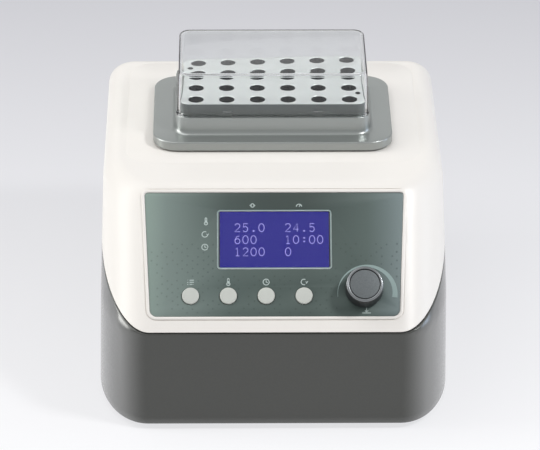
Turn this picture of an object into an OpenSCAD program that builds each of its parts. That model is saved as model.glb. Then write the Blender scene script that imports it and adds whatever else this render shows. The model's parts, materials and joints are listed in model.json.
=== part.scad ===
// Thermal mixer: a bench shaker that heats, cools and mixes a block of sample tubes.
// Origin at the middle of the footprint on the bench, +Z up, the control slope faces -Y.

/* [Housing] */
// Width of the housing at its lower edge
body_w = 230; // [215:1:260]
// Depth of the housing at its lower edge
body_d = 270; // [262:1:300]
// Height of the deck above the bench
deck_h = 142.5; // [138:0.5:150]
// Height of the control slope, from the front's upper edge to the deck
front_h = 71; // [66:0.5:76]
// Angle of the control slope from level
slope_a = 45; // [42:1:48]
// Lean of the side walls for moulding
side_lean = 1.2; // [0:0.1:2]
// Width that a front corner takes
corner_w = 33; // [20:1:40]
// Depth that a front corner takes at the bottom
corner_d = 66; // [50:1:72]
// Depth that a front corner takes at the deck
corner_top_d = 46; // [36:1:60]
// Radius of the rear corners
rear_r = 18; // [15:1:26]
// Radius of the deck's edge
deck_edge_r = 12; // [8:1:14]
// Radius of the fold between deck and slope
fold_r = 14; // [10:1:20]
// Wall of the upper housing
shell_wall = 3; // [2.5:0.1:3.5]
// Wall of the lower housing
base_wall = 3.5; // [3:0.1:4.5]
// Height of the lower housing's edge above the bench
edge_h = 4; // [3:0.5:5]
// Rise of the parting line for each millimetre towards the back
part_rise = 0.32; // [0.2:0.01:0.4]
// Length over which the parting line rises evenly
part_run = 70; // [50:1:80]
// Length over which the parting line eases to level
part_ease = 60; // [40:1:80]
// Height of the groove at the parting line
part_gap = 0.8; // [0.5:0.1:1.2]
// Height of the raised step round the back of the deck
deck_step = 0.7; // [0.4:0.1:1]

/* [Control panel] */
// Width of the overlay at its top
overlay_w = 168; // [164:1:172]
// Narrowing of the overlay from top to bottom
overlay_narrow = 7.2; // [0:0.2:10]
// Height of the overlay along the slope
overlay_l = 83.2; // [80:0.2:86]
// Distance along the slope from the deck's fold to the overlay
overlay_top = 6.1; // [5:0.1:8]
// Thickness of the overlay
overlay_t = 0.8; // [0.5:0.1:1]
// Width of the display window
window_w = 74; // [70:1:78]
// Height of the display window
window_h = 39.8; // [36:0.2:42]
// Distance along the slope to the middle of the display window
window_s = 37.6; // [34:0.2:40]
// Diameter of a button
button_d = 11; // [9:0.5:12]
// Distance between two buttons
button_pitch = 24.4; // [20:0.2:26]
// Place of the first button across the panel
button_x = -54.3; // [-58:0.1:-50]
// Distance along the slope to the buttons
button_s = 75.7; // [73:0.1:78]
// Travel of a button
button_travel = 0.6; // [0.3:0.1:0.7]
// Diameter of the dial at its foot
dial_d = 24.6; // [20:0.2:26]
// Height of the dial
dial_h = 12.3; // [10:0.1:16]
// Place of the dial across the panel
dial_x = 57.6; // [54:0.2:62]
// Distance along the slope to the dial
dial_s = 71.7; // [68:0.1:74]
// Travel of the dial when it is pushed
dial_travel = 0.8; // [0.4:0.1:1]

/* [Drive] */
// Radius of the orbit
orbit_r = 1.5; // [1:0.1:2]
// Place of the drive shaft from front to back
drive_y = 32; // [28:1:36]
// Diameter of the drive shaft
shaft_d = 10; // [8:0.5:12]
// Diameter of the idler journals
idler_d = 5; // [4:0.5:6]
// Running clearance between a pin and its bearing
pin_clear = 0.05; // [0.02:0.01:0.1]
// Height of the drive plate's underside
drive_plate_h = 50; // [46:1:52]
// Thickness of the drive plate
drive_plate_t = 8; // [6:0.5:9]
// Width of the drive plate
drive_plate_w = 150; // [146:1:160]
// Depth of the drive plate
drive_plate_d = 116; // [110:1:124]
// Diameter of the motor
motor_d = 62; // [50:1:66]
// Height of the motor
motor_h = 33; // [26:1:36]
// Height of the moving platform's underside
platform_h = 74; // [72:0.5:76]
// Thickness of the moving platform
platform_t = 7; // [6:0.5:8]

/* [Block and collar] */
// Distance between wells from left to right
well_pitch_x = 20.4; // [19:0.1:21]
// Distance between wells from front to back
well_pitch_y = 18.2; // [17:0.1:19]
// Number of wells from left to right
well_cols = 6; // [4:1:6]
// Number of wells from front to back
well_rows = 4; // [2:1:4]
// Diameter of a well
well_d = 10.2; // [8:0.1:11]
// Depth of a well
well_depth = 38; // [20:1:40]
// Metal between the outer wells and the block's sides
well_edge_x = 10.2; // [8:0.1:12]
// Metal between the outer wells and the block's front and back
well_edge_y = 7.5; // [6.5:0.1:9]
// Height of the block's top face above the rim round it
block_top = 8.9; // [4.4:0.1:12.4]
// Radius of the block's corners
block_r = 6; // [4:0.5:8]
// Width of the collar plate
collar_w = 159.2; // [157:0.2:164]
// Depth of the collar plate
collar_d = 102.4; // [100:0.2:106]
// Height of the collar plate's top above the deck
collar_h = 7.3; // [6:0.1:8.5]
// Height of the collar plate's edge
collar_edge = 5.8; // [4.5:0.1:6]
// Radius of the collar plate's corners
collar_r = 17; // [12:1:20]
// Wall of the collar
collar_wall = 2.5; // [2:0.1:3]
// Height of the rim round the block above the collar plate
rim_h = 11.8; // [8.2:0.1:14.2]
// Thickness of the wall round the block
rim_wall = 3; // [2.5:0.1:3.5]
// Gap between the block and the wall round it
block_gap = 0.6; // [0.4:0.1:0.8]

/* [Lid] */
// Height of the lid
lid_h = 30.7; // [26:0.1:36]
// Wall of the lid
lid_wall = 1.6; // [1.2:0.1:2]
// Lean of the lid's walls
lid_lean = 1.6; // [0.5:0.1:2]

/* [Rear] */
// Width of the wall that is left at each side of the rear panel's opening
rear_w = 29; // [27:1:35]
// Height of the opening for the rear panel
rear_h = 56; // [54:1:58]
// Height of the middle of the rear panel
rear_z = 44; // [42:1:46]
// Width of the fan
fan_w = 50; // [40:1:50]
// Thickness of the fan
fan_t = 15; // [10:1:20]

/* [Hidden] */
$fn = 48;

white = "#F4F2EE";
dark_grey = "#5A5B58";
silver = "#C4C8C6";
steel = "#B9BCBE";
black = "#26282A";
board_green = "#2F5D46";
brass_tone = "#B79A5B";

// Values that follow from the driving ones
seam = 0.05;
front_z = deck_h - front_h;
collar_z = deck_h + collar_h;
rim_z = collar_z + rim_h;
block_top_z = rim_z + block_top;
front_y = -body_d / 2 + (front_z - edge_h) * tan(side_lean);
fold_y = front_y + front_h / tan(slope_a);
fold_cy = fold_y + fold_r * tan(slope_a / 2);
fold_cz = deck_h - fold_r;
edge_cz = deck_h - deck_edge_r;
block_y = drive_y + orbit_r;
rear_half = body_w / 2 - rear_w;
block_hx = (well_cols - 1) * well_pitch_x / 2 + well_edge_x;
block_hy = (well_rows - 1) * well_pitch_y / 2 + well_edge_y;

// Columns of points round the housing
front_steps = 9;
side_steps = 6;
rear_steps = 5;
half_count = front_steps + 1 + side_steps + rear_steps + 1;

function mix(a, b, t) = a + (b - a) * t;
function clip01(t) = max(0, min(1, t));

// Half width and rear face of the housing at a height
function half_w(z) = body_w / 2 - (z - edge_h) * tan(side_lean);
function rear_face(z) = body_d / 2 - (z - edge_h) * tan(side_lean);

// How far the rounded deck edge draws the wall in, for a surface w inside the outer one
function edge_inset(z, w) =
    z <= edge_cz ? w : deck_edge_r - sqrt(max(0, pow(deck_edge_r - w, 2) - pow(z - edge_cz, 2)));

// Front face: upright, then the slope, then the round fold into the deck
function upright_y(z, w) = -body_d / 2 + (z - edge_h) * tan(side_lean) + w;
function slope_y(z, w) = front_y + (z - front_z) / tan(slope_a) + w / sin(slope_a);
function fold_arc_y(z, w) = fold_cy - sqrt(max(0, pow(fold_r - w, 2) - pow(z - fold_cz, 2)));
function front_face(z, w) =
    z >= fold_cz + (fold_r - w) * cos(slope_a) ? fold_arc_y(z, w)
    : max(upright_y(z, w), slope_y(z, w));

function corner_depth(z) = mix(corner_d, corner_top_d, clip01((z - front_z) / front_h));

// One column's place at a height, on the right half: corner arc, side, rear arc
function column_xy(i, z, w) = let (
    hw = half_w(z),
    e = edge_inset(z, w),
    yf = front_face(z, w),
    xi = hw - corner_w,
    depth = corner_depth(z) - w / 2,
    ry = rear_face(z) - rear_r,
    rr = max(0.5, rear_r - e))
    i <= front_steps ? let (a = 90 * i / front_steps)
        [xi + (corner_w - e) * sin(a), yf + depth * (1 - cos(a))]
    : i <= front_steps + side_steps ? let (t = (i - front_steps) / (side_steps + 1))
        [hw - e, mix(yf + depth, ry, t)]
    : let (a = 90 * (i - front_steps - side_steps - 1) / rear_steps)
        [hw - rear_r + rr * cos(a), ry + rr * sin(a)];

// Height of the parting line at a place from front to back
function part_z(y) = let (v = max(0, y - front_y), q = max(0, min(part_ease, v - part_run)))
    front_z + part_rise * (min(v, part_run) + q - q * q / (2 * part_ease));

// Height at which a column crosses the parting line, by repeated closing in
function column_part_z(i, w, z, left) =
    left == 0 ? z : column_part_z(i, w, part_z(column_xy(i, z, w)[1]), left - 1);
part_heights = [for (w = [0, shell_wall, base_wall])
    [for (i = [0:half_count - 1]) column_part_z(i, w, front_z, 8)]];

// A full ring of points from the heights of the right half's columns, mirrored to the left
function ring(zs, w) = concat(
    [for (i = [0:half_count - 1]) let (p = column_xy(i, zs[i], w)) [p[0], p[1], zs[i]]],
    [for (k = [0:half_count - 1]) let (i = half_count - 1 - k, p = column_xy(i, zs[i], w))
        [-p[0], p[1], zs[i]]]);
function level(z) = [for (i = [0:half_count - 1]) z];
function level_between(za, zb, t) = [for (i = [0:half_count - 1]) mix(za[i], zb[i], t)];

// Triangles of a skin that runs through rings of n points
function skin(rings, n, closed) = [
    for (r = [0:rings - (closed ? 1 : 2)], i = [0:n - 1])
        let (j = (i + 1) % n, a = r * n, b = ((r + 1) % rings) * n)
        each [[a + i, b + i, b + j], [a + i, b + j, a + j]]];

ring_n = 2 * half_count;

// Outline of the housing at a height as a flat shape
module housing_outline(z, w) {
    polygon([for (p = ring(level(z), w)) [p[0], p[1]]]);
}

// Places a piece on the control slope: x across, s down the slope from the fold, h outwards
module on_slope(x, s, h = 0) {
    translate([0, fold_y, deck_h]) rotate([slope_a, 0, 0]) translate([x, -s, h]) children();
}

module rounded_rect(hx, hy, r) {
    square([2 * hx, 2 * (hy - r)], center = true);
    square([2 * (hx - r), 2 * hy], center = true);
    for (sx = [-1, 1], sy = [-1, 1]) translate([sx * (hx - r), sy * (hy - r)]) circle(r = r);
}

module rounded_slab(hx, hy, r, h) {
    linear_extrude(height = h) rounded_rect(hx, hy, r);
}

// Sweeps a flat profile round a rounded rectangle; the outline lies at x = r in the profile
module rim_sweep(hx, hy, r) {
    for (q = [0:3]) {
        out = (q % 2 == 0 ? hx : hy) - r;
        along = (q % 2 == 0 ? hy : hx) - r;
        rotate([0, 0, 90 * q]) {
            translate([out, along, 0]) rotate([90, 0, 0]) linear_extrude(height = 2 * along) children();
            translate([out, along, 0]) rotate_extrude(angle = 90) children();
        }
    }
}

module ring_solid(outer_r, inner_r, h) {
    difference() {
        cylinder(r = outer_r, h = h);
        translate([0, 0, -1]) cylinder(r = inner_r, h = h + 2);
    }
}

// A screw standing on its shank's tip: shank, then a socket head
module screw(shank_r, shank_h, head_r, head_h) {
    difference() {
        union() {
            cylinder(r = shank_r, h = shank_h + 0.5);
            translate([0, 0, shank_h]) cylinder(r = head_r, h = head_h);
        }
        translate([0, 0, shank_h + head_h * 0.4]) cylinder(r = head_r * 0.5, h = head_h, $fn = 6);
    }
}

// Housing bosses and their screws
boss_r = 5;
boss_join_z = 55;
boss_bore_r = 2.05;
front_boss_x = 84;
rear_boss_in = 19;
boss_places = [for (sx = [-1, 1]) each [[sx * front_boss_x, front_y + 36],
    [sx * (body_w / 2 - rear_boss_in), body_d / 2 - 23]]];
floor_z = edge_h + 1.5;
floor_t = 1.5;
floor_top = floor_z + floor_t;
boss_head_z = 41;

lower_land = 1.4;
web_h = 38;

// Outer half width of the housing at a place from front to back, in its front corner or behind it
function side_x(y, z) = let (t = clip01((y - 2 - upright_y(z, 0)) / corner_d))
    half_w(z) - corner_w + corner_w * sin(acos(1 - t));

module lower_shell() {
    zp = part_heights[0];
    zi = part_heights[2];
    rim_low = [for (z = zp) z - part_gap - 0.7];
    rim_edge = [for (z = zp) z - part_gap];
    rim_top = [for (z = zp) z - seam];
    in_top = [for (z = zi) z - seam];
    points = concat(
        ring(level(edge_h), 1),
        ring(level(edge_h + 1), 0),
        ring(rim_low, 0),
        ring(rim_edge, 0.7),
        ring(rim_edge, lower_land),
        ring(rim_top, lower_land),
        ring(in_top, base_wall),
        ring(level(edge_h), base_wall));
    polyhedron(points, skin(8, ring_n, true), convexity = 6);
}

module lower_housing() {
    color(dark_grey) difference() {
        union() {
            lower_shell();
            for (p = boss_places) translate([p[0], p[1], floor_top]) {
                cylinder(r = boss_r, h = boss_join_z - floor_top);
                web = side_x(p[1], web_h) - abs(p[0]) - 1;
                translate([p[0] > 0 ? 0 : -web, -1.5, 0]) cube([web, 3, web_h]);
            }
        }
        for (p = boss_places) translate([p[0], p[1], 0]) {
            cylinder(r = 4, h = boss_head_z + 4);
            cylinder(r = boss_bore_r, h = boss_join_z + 1);
        }
        translate([-rear_half, body_d / 2 - 12, rear_z - rear_h / 2]) cube([2 * rear_half, 20, rear_h]);
        for (p = panel_screw_places) translate([p[0], panel_in_y, p[1]]) rotate([-90, 0, 0])
            cylinder(r = 1.6, h = panel_screw_l + 0.1);
    }
}

// Heights at which the upper shell has rings, from the side wall over the round edge to the deck
outer_levels = [for (a = [0:15:90]) edge_cz + deck_edge_r * sin(a)];
inner_levels = [for (a = [90:-30:0]) edge_cz + (deck_edge_r - shell_wall) * sin(a)];

module upper_shell() {
    zp = part_heights[0];
    zi = part_heights[1];
    outer = concat([ring(zp, 0)], [ring(level_between(zp, level(edge_cz), 0.5), 0)],
        [for (z = outer_levels) ring(level(z), 0)]);
    inner = concat([for (z = inner_levels) ring(level(z), shell_wall)], [ring(zi, shell_wall)]);
    n_out = len(outer);
    n_in = len(inner);
    top = (n_out - 1) * ring_n;
    low = n_out * ring_n;
    all_skin = skin(n_out + n_in, ring_n, true);
    // The deck's top and underside close the skin where the two stacks of rings meet
    sides = [for (k = [0:len(all_skin) - 1])
        if (floor(k / (2 * ring_n)) != n_out - 1) all_skin[k]];
    polyhedron([for (r = concat(outer, inner)) each r], concat(sides,
        [[for (i = [ring_n - 1:-1:0]) top + i]], [[for (i = [0:ring_n - 1]) low + i]]), convexity = 8);
}

bezel_h = 0.5;
opening_hx = collar_w / 2 - 3.1;
opening_hy = collar_d / 2 - 7.7;
overlay_recess = overlay_t + 0.2;
window_margin = 0.8;
encoder_hole_r = 4.9;
cap_clear = 0.3;
panel_mid_s = overlay_top + overlay_l / 2;
standoff_x = 68;
standoff_s = [overlay_top + 8, overlay_top + overlay_l - 8];
board_h = -12;

module overlay_outline(grow = 0, r = 4.5) {
    top = overlay_w / 2 + grow;
    low = (overlay_w - overlay_narrow) / 2 + grow;
    hl = overlay_l / 2 + grow;
    r_top = 2 + grow;
    r_low = r + grow;
    hull() {
        for (s = [-1, 1]) {
            translate([s * (top - r_top), hl - r_top]) circle(r = r_top, $fn = 32);
            translate([s * (low - r_low), -hl + r_low]) circle(r = r_low, $fn = 32);
        }
    }
}

module upper_boss(p) {
    difference() {
        translate([p[0], p[1], boss_join_z]) cylinder(r = boss_r, h = deck_h - 2 - boss_join_z);
        on_slope(0, panel_mid_s, -shell_wall / 2 - 0.3) translate([-body_w, -body_d, 0])
            cube([2 * body_w, 2 * body_d, deck_h]);
        translate([p[0], p[1], boss_join_z - 1]) cylinder(r = boss_bore_r, h = 22);
    }
}

module deck_step_pad() {
    rise = atan(deck_step / (2 * deck_step_hy));
    translate([0, deck_step_y - deck_step_hy, deck_h]) rotate([rise, 0, 0])
        translate([0, deck_step_hy, -1]) rounded_slab(deck_step_hx, deck_step_hy, 17, 1);
}
deck_step_hx = half_w(deck_h) - deck_edge_r - 2.6;
deck_step_hy = 75.5;
deck_step_y = rear_face(deck_h) - deck_edge_r - 1.5 - deck_step_hy;

module upper_housing() {
    color(white) difference() {
        union() {
            upper_shell();
            deck_step_pad();
            for (p = boss_places) upper_boss(p);
            on_slope(0, panel_mid_s, -1.5) linear_extrude(height = 1.5 + bezel_h) difference() {
                overlay_outline(2.2);
                overlay_outline(0.2);
            }
            for (x = [-1, 1], s = standoff_s) on_slope(x * standoff_x, s, board_h)
                cylinder(r = 3, h = -board_h - shell_wall + 1);
        }
        translate([0, drive_y, deck_h - 10]) rounded_slab(opening_hx, opening_hy, 10, 20);
        on_slope(0, panel_mid_s, -overlay_recess) linear_extrude(height = 3) overlay_outline(0.2);
        on_slope(0, window_s, -10) rounded_slab(window_w / 2 - window_margin,
            window_h / 2 - window_margin, 1.2, 20);
        for (k = [0:3]) on_slope(button_x + k * button_pitch, button_s, -10)
            cylinder(r = button_d / 2 + cap_clear, h = 20);
        on_slope(dial_x, dial_s, -10) cylinder(r = encoder_hole_r, h = 20);
        for (x = [-1, 1], s = standoff_s) on_slope(x * standoff_x, s, board_h - 1)
            cylinder(r = 1.25, h = 7);
    }
}

// Base plate, feet and their screws
front_foot_x = 56;
rear_foot_in = 35;
foot_places = [for (sx = [-1, 1]) each [[sx * front_foot_x, front_y + 22],
    [sx * (body_w / 2 - rear_foot_in), body_d / 2 - 31]]];
foot_r = 10;
foot_screw_r = 2;
post_places = [for (sx = [-1, 1], sy = [-1, 1]) [sx * 62, drive_y + sy * 46]];
post_screw_r = 2;

module base_plate() {
    color(steel) translate([0, 0, floor_z]) linear_extrude(height = floor_t) difference() {
        housing_outline(floor_z, base_wall + 0.3);
        for (p = boss_places) translate(p) circle(r = 4);
        for (p = foot_places) translate(p) circle(r = foot_screw_r);
        for (p = post_places) translate(p) circle(r = post_screw_r);
        // Air slots under the motor and the boards
        for (k = [-4:4]) translate([k * 9, drive_y]) square([4, 40], center = true);
        for (k = [-3:3]) translate([50 + k * 9, -82]) square([4, 30], center = true);
    }
}

module rubber_feet() {
    color(black) for (p = foot_places) translate([p[0], p[1], 0]) difference() {
        union() {
            cylinder(r1 = foot_r - 1, r2 = foot_r, h = 1);
            translate([0, 0, 1]) cylinder(r = foot_r, h = floor_z - 1);
        }
        translate([0, 0, -1]) cylinder(r = 4.5, h = 4);
        cylinder(r = foot_screw_r, h = floor_z + 1);
    }
}

module foot_screws() {
    color(steel) for (p = foot_places) translate([p[0], p[1], floor_top + 3]) rotate([180, 0, 0])
        screw(foot_screw_r, floor_top, 3.8, 2.2);
}

module housing_screws() {
    color(steel) for (p = boss_places) translate([p[0], p[1], boss_join_z + 20]) rotate([180, 0, 0])
        screw(boss_bore_r - seam, boss_join_z + 16 - boss_head_z, 3.6, 4);
}

// Rear panel and what it carries
panel_back_y = rear_face(rear_z + rear_h / 2 + 3) - base_wall - seam;
panel_t = 1.5;
panel_in_y = panel_back_y - panel_t;
panel_screw_l = 4.4;
panel_screw_places = [for (x = [-1, 1], z = [-1, 1]) [x * (rear_half + 4), rear_z + z * 20]];
fan_x = rear_half - 38;
fan_mid_z = rear_z;
fan_hole = fan_w / 2 - 5;
inlet_x = 32 - rear_half;
inlet_z = 32;
inlet_w = 27;
inlet_h = 19.8;
rocker_z = 60;
rocker_w = 19;
rocker_h = 12.8;
flange_t = 2.5;

// Turns a shape drawn in the x-z view of the rear into a plate from y0 with thickness t
module rear_plate(y0, t) {
    translate([0, y0 + t, 0]) rotate([90, 0, 0]) linear_extrude(height = t) children();
}

module fan_grille() {
    for (k = [-4:4]) {
        half = sqrt(pow(fan_w / 2 - 2, 2) - pow(k * 5.2, 2)) - 0.5;
        translate([k * 5.2, 0]) {
            square([2.6, 2 * half], center = true);
            for (s = [-1, 1]) translate([0, s * half]) circle(r = 1.3, $fn = 16);
        }
    }
}

module rear_panel() {
    color(black) rear_plate(panel_in_y, panel_t) difference() {
        translate([-rear_half - 7.5, rear_z - rear_h / 2 - 4]) square([2 * rear_half + 15, rear_h + 8]);
        translate([fan_x, fan_mid_z]) fan_grille();
        for (x = [-1, 1], z = [-1, 1]) translate([fan_x + x * fan_hole, fan_mid_z + z * fan_hole])
            circle(r = 1.6);
        translate([inlet_x - inlet_w / 2 - 0.1, inlet_z - inlet_h / 2 - 0.1])
            square([inlet_w + 0.2, inlet_h + 0.2]);
        translate([inlet_x - rocker_w / 2 - 0.1, rocker_z - rocker_h / 2 - 0.1])
            square([rocker_w + 0.2, rocker_h + 0.2]);
        for (x = [-1, 1]) translate([inlet_x + x * 20, inlet_z]) circle(r = 1.6);
        for (p = panel_screw_places) translate(p) circle(r = 1.6);
    }
}

module rear_panel_screws() {
    color(steel) {
        for (p = panel_screw_places) translate([p[0], panel_in_y + panel_screw_l, p[1]])
            rotate([90, 0, 0]) screw(1.6, panel_screw_l, 2.8, 1.8);
        for (x = [-1, 1]) translate([inlet_x + x * 20, panel_in_y - 3, inlet_z]) rotate([-90, 0, 0])
            screw(1.6, 3 + panel_t + flange_t, 2.8, 1.3);
    }
}

module fan_frame() {
    hw = fan_w / 2;
    color(black) rear_plate(panel_in_y - fan_t, fan_t) difference() {
        translate([fan_x, fan_mid_z]) rounded_rect(hw, hw, 3);
        translate([fan_x, fan_mid_z]) circle(r = hw - 1.5, $fn = 64);
        for (x = [-1, 1], z = [-1, 1]) translate([fan_x + x * fan_hole, fan_mid_z + z * fan_hole])
            circle(r = 1.6);
    }
    // The motor holder in the middle hangs on three arms at the inner side
    color(black) translate([fan_x, panel_in_y - fan_t, fan_mid_z]) rotate([-90, 0, 0]) {
        difference() {
            union() {
                cylinder(r = 10, h = 2);
                for (a = [90, 210, 330]) rotate([0, 0, a]) translate([0, -1.5, 0]) cube([hw - 1, 3, 1.8]);
            }
            translate([0, 0, -1]) cylinder(r = 1.6, h = 4);
        }
    }
}

module fan_rotor() {
    color("#3A3C3E") translate([fan_x, panel_in_y - fan_t, fan_mid_z]) rotate([-90, 0, 0]) {
        translate([0, 0, 2.4]) cylinder(r = 9.5, h = fan_t - 4.4);
        cylinder(r = 1.6 - pin_clear, h = 3);
        for (k = [0:6]) rotate([0, 0, k * 360 / 7]) translate([8.5, 0, fan_t / 2 + 0.2])
            rotate([38, 0, 0]) translate([0, -5.5, -0.6]) cube([fan_w / 2 - 11, 11, 1.2]);
    }
}

module fan_screws() {
    color(steel) for (x = [-1, 1], z = [-1, 1])
        translate([fan_x + x * fan_hole, panel_back_y - 9, fan_mid_z + z * fan_hole]) rotate([-90, 0, 0])
            screw(1.6, 9, 2.8, 1.6);
}

pin_socket_w = 24;
pin_socket_h = 16.6;

module power_inlet() {
    color(black) difference() {
        union() {
            translate([inlet_x - inlet_w / 2, panel_in_y - 22, inlet_z - inlet_h / 2])
                cube([inlet_w, 22 + panel_t, inlet_h]);
            translate([inlet_x, panel_back_y + flange_t, inlet_z]) rotate([90, 0, 0])
                rounded_slab(25, inlet_h / 2 + 2.4, 3, flange_t);
        }
        // The socket for the lead, with its two cut corners
        translate([inlet_x, panel_back_y + flange_t + 1, inlet_z]) rotate([90, 0, 0])
            linear_extrude(height = 17) polygon([[-pin_socket_w / 2, -pin_socket_h / 2],
                [pin_socket_w / 2, -pin_socket_h / 2], [pin_socket_w / 2, pin_socket_h / 2 - 4.5],
                [pin_socket_w / 2 - 4.5, pin_socket_h / 2], [-pin_socket_w / 2 + 4.5, pin_socket_h / 2],
                [-pin_socket_w / 2, pin_socket_h / 2 - 4.5]]);
        for (x = [-1, 1]) translate([inlet_x + x * 20, panel_back_y - 1, inlet_z]) rotate([-90, 0, 0])
            cylinder(r = 1.6, h = flange_t + 2);
    }
    color(steel) for (p = [[-7, -2], [7, -2], [0, 2.4]])
        translate([inlet_x + p[0] - 1, panel_back_y + flange_t - 17, inlet_z + p[1] - 2]) cube([2, 10, 4]);
}

module rocker_frame() {
    color(black) difference() {
        union() {
            translate([inlet_x - rocker_w / 2, panel_in_y - 14, rocker_z - rocker_h / 2])
                cube([rocker_w, 14 + panel_t, rocker_h]);
            translate([inlet_x, panel_back_y + 1.8, rocker_z]) rotate([90, 0, 0])
                rounded_slab(rocker_w / 2 + 2, rocker_h / 2 + 1.6, 1.5, 1.8);
        }
        translate([inlet_x - rocker_w / 2 + 1.5, panel_in_y - 8, rocker_z - rocker_h / 2 + 1.3])
            cube([rocker_w - 3, 20, rocker_h - 2.6]);
        translate([inlet_x, panel_back_y - rocker_in, rocker_z]) rotate([0, 90, 0])
            cylinder(r = rocker_pin_r + pin_clear, h = rocker_w - 0.8, center = true);
    }
}

rocker_tilt = 9;
rocker_pin_r = 1.2;
rocker_in = 3;

module power_rocker() {
    hx = rocker_w / 2 - 1.9;
    color("#2C2E30") translate([inlet_x, panel_back_y - rocker_in, rocker_z]) rotate([rocker_tilt, 0, 0])
        rotate([0, 90, 0]) {
            translate([0, 0, -hx]) linear_extrude(height = 2 * hx)
                polygon([[-4.1, 0.5], [-4.1, 4.7], [0, 4.1], [4.1, 4.7], [4.1, 0.5], [1.8, -1.8],
                    [-1.8, -1.8]]);
            cylinder(r = rocker_pin_r, h = rocker_w - 1.2, center = true);
        }
}

// Boards and supply on the floor
board_lift = 6;
supply_box = [80, 62, 34];
supply_at = [-76, front_y + 16];
board_size = [66, 72];
board_at = [10, front_y + 16];

module power_supply() {
    color(steel) translate([supply_at[0], supply_at[1], floor_top + board_lift]) difference() {
        cube(supply_box);
        for (k = [0:5]) translate([14 + k * 9, 10, supply_box[2] - 1.5]) cube([4, supply_box[1] - 20, 3]);
        translate([10, -1, 10]) cube([30, 12, 30]);
    }
}

module main_board() {
    translate([board_at[0], board_at[1], floor_top + board_lift]) {
        color(board_green) cube([board_size[0], board_size[1], 1.6]);
        color(black) {
            translate([30, 26, 1.6]) cube([14, 14, 1.8]);
            translate([8, 50, 1.6]) cube([26, 12, 10]);
            translate([46, 24, 1.6]) cube([14, 36, 18]);
        }
        color(steel) for (k = [0:2]) translate([14 + k * 13, 12, 1.6]) cylinder(r = 4.5, h = 12);
    }
}

module board_standoffs() {
    color(brass_tone) {
        for (x = [8, supply_box[0] - 8], y = [8, supply_box[1] - 8])
            translate([supply_at[0] + x, supply_at[1] + y, floor_top]) cylinder(r = 3, h = board_lift);
        for (x = [4, board_size[0] - 4], y = [4, board_size[1] - 4])
            translate([board_at[0] + x, board_at[1] + y, floor_top]) cylinder(r = 3, h = board_lift);
    }
}

// Drive: posts, plate, motor, bearings
drive_top = drive_plate_h + drive_plate_t;
main_bearing_r = 13;
main_bearing_h = 8;
idler_bearing_r = 8;
idler_bearing_h = 5;
idler_places = [[-58, drive_y + 32], [58, drive_y + 32], [0, drive_y - 44]];
motor_hole_r = motor_d / 2 - 5;

module drive_posts() {
    color(steel) for (p = post_places) translate([p[0], p[1], floor_top])
        ring_solid(5, post_screw_r, drive_plate_h - floor_top);
}

module drive_plate() {
    color(silver) difference() {
        translate([0, drive_y, drive_plate_h])
            rounded_slab(drive_plate_w / 2, drive_plate_d / 2, 8, drive_plate_t);
        translate([0, drive_y, drive_plate_h - 1]) cylinder(r = main_bearing_r, h = drive_plate_t + 2);
        for (p = idler_places) translate([p[0], p[1], drive_top - idler_bearing_h])
            cylinder(r = idler_bearing_r, h = 20);
        for (p = idler_places) translate([p[0], p[1], drive_plate_h - 1]) cylinder(r = 5.5, h = 20);
        for (p = post_places) translate([p[0], p[1], drive_plate_h - 1])
            cylinder(r = post_screw_r, h = 20);
        for (a = [45:90:315]) translate([motor_hole_r * cos(a), drive_y + motor_hole_r * sin(a),
            drive_plate_h - 1]) cylinder(r = 1.5, h = 20);
    }
}

module drive_screws() {
    color(steel) {
        for (p = post_places) translate([p[0], p[1], drive_top - 18]) screw(post_screw_r, 18, 3.5, 3);
        for (p = post_places) translate([p[0], p[1], floor_z + 11]) rotate([180, 0, 0])
            screw(post_screw_r, 11, 3.5, 2.2);
        for (a = [45:90:315]) translate([motor_hole_r * cos(a), drive_y + motor_hole_r * sin(a),
            drive_plate_h - 5]) screw(1.5, drive_plate_t + 5, 2.6, 1.6);
    }
}

module motor() {
    color(black) translate([0, drive_y, drive_plate_h - motor_h]) difference() {
        union() {
            cylinder(r = motor_d / 2 - 2, h = motor_h - 4);
            translate([0, 0, motor_h - 4]) cylinder(r = motor_d / 2, h = 4);
            for (a = [0:30:330]) rotate([0, 0, a]) translate([motor_d / 2 - 3, -1.2, 3])
                cube([2.4, 2.4, motor_h - 8]);
        }
        translate([0, 0, 4]) cylinder(r = shaft_d / 2 + 0.4, h = motor_h);
        for (a = [45:90:315]) rotate([0, 0, a]) translate([motor_hole_r, 0, motor_h - 5])
            cylinder(r = 1.5, h = 6);
    }
}

module main_bearing() {
    color(steel) translate([0, drive_y, drive_plate_h])
        ring_solid(main_bearing_r, shaft_d / 2 + pin_clear, main_bearing_h);
}

module idler_bearings() {
    color(steel) for (p = idler_places) translate([p[0], p[1], drive_top - idler_bearing_h])
        ring_solid(idler_bearing_r, idler_d / 2 + pin_clear, idler_bearing_h);
}

// Crank, its counterweight and the three idler cranks
crank_disc_r = 15;
crank_disc_z = drive_top + 0.6;
crank_disc_h = 8;
weight_r = 38;

module crank_shaft() {
    color(steel) difference() {
        union() {
            translate([0, drive_y, drive_plate_h - motor_h + 5])
                cylinder(d = shaft_d, h = crank_disc_z - drive_plate_h + motor_h - 4);
            translate([0, drive_y, crank_disc_z]) cylinder(r = crank_disc_r, h = crank_disc_h);
            translate([0, block_y, crank_disc_z + 1])
                cylinder(d = shaft_d, h = platform_h + platform_t - crank_disc_z - 1.4);
        }
        for (x = [-1, 1]) translate([x * 7, drive_y - 8.6, crank_disc_z + crank_disc_h - 5])
            cylinder(r = 1.5, h = 6);
    }
}

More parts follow.
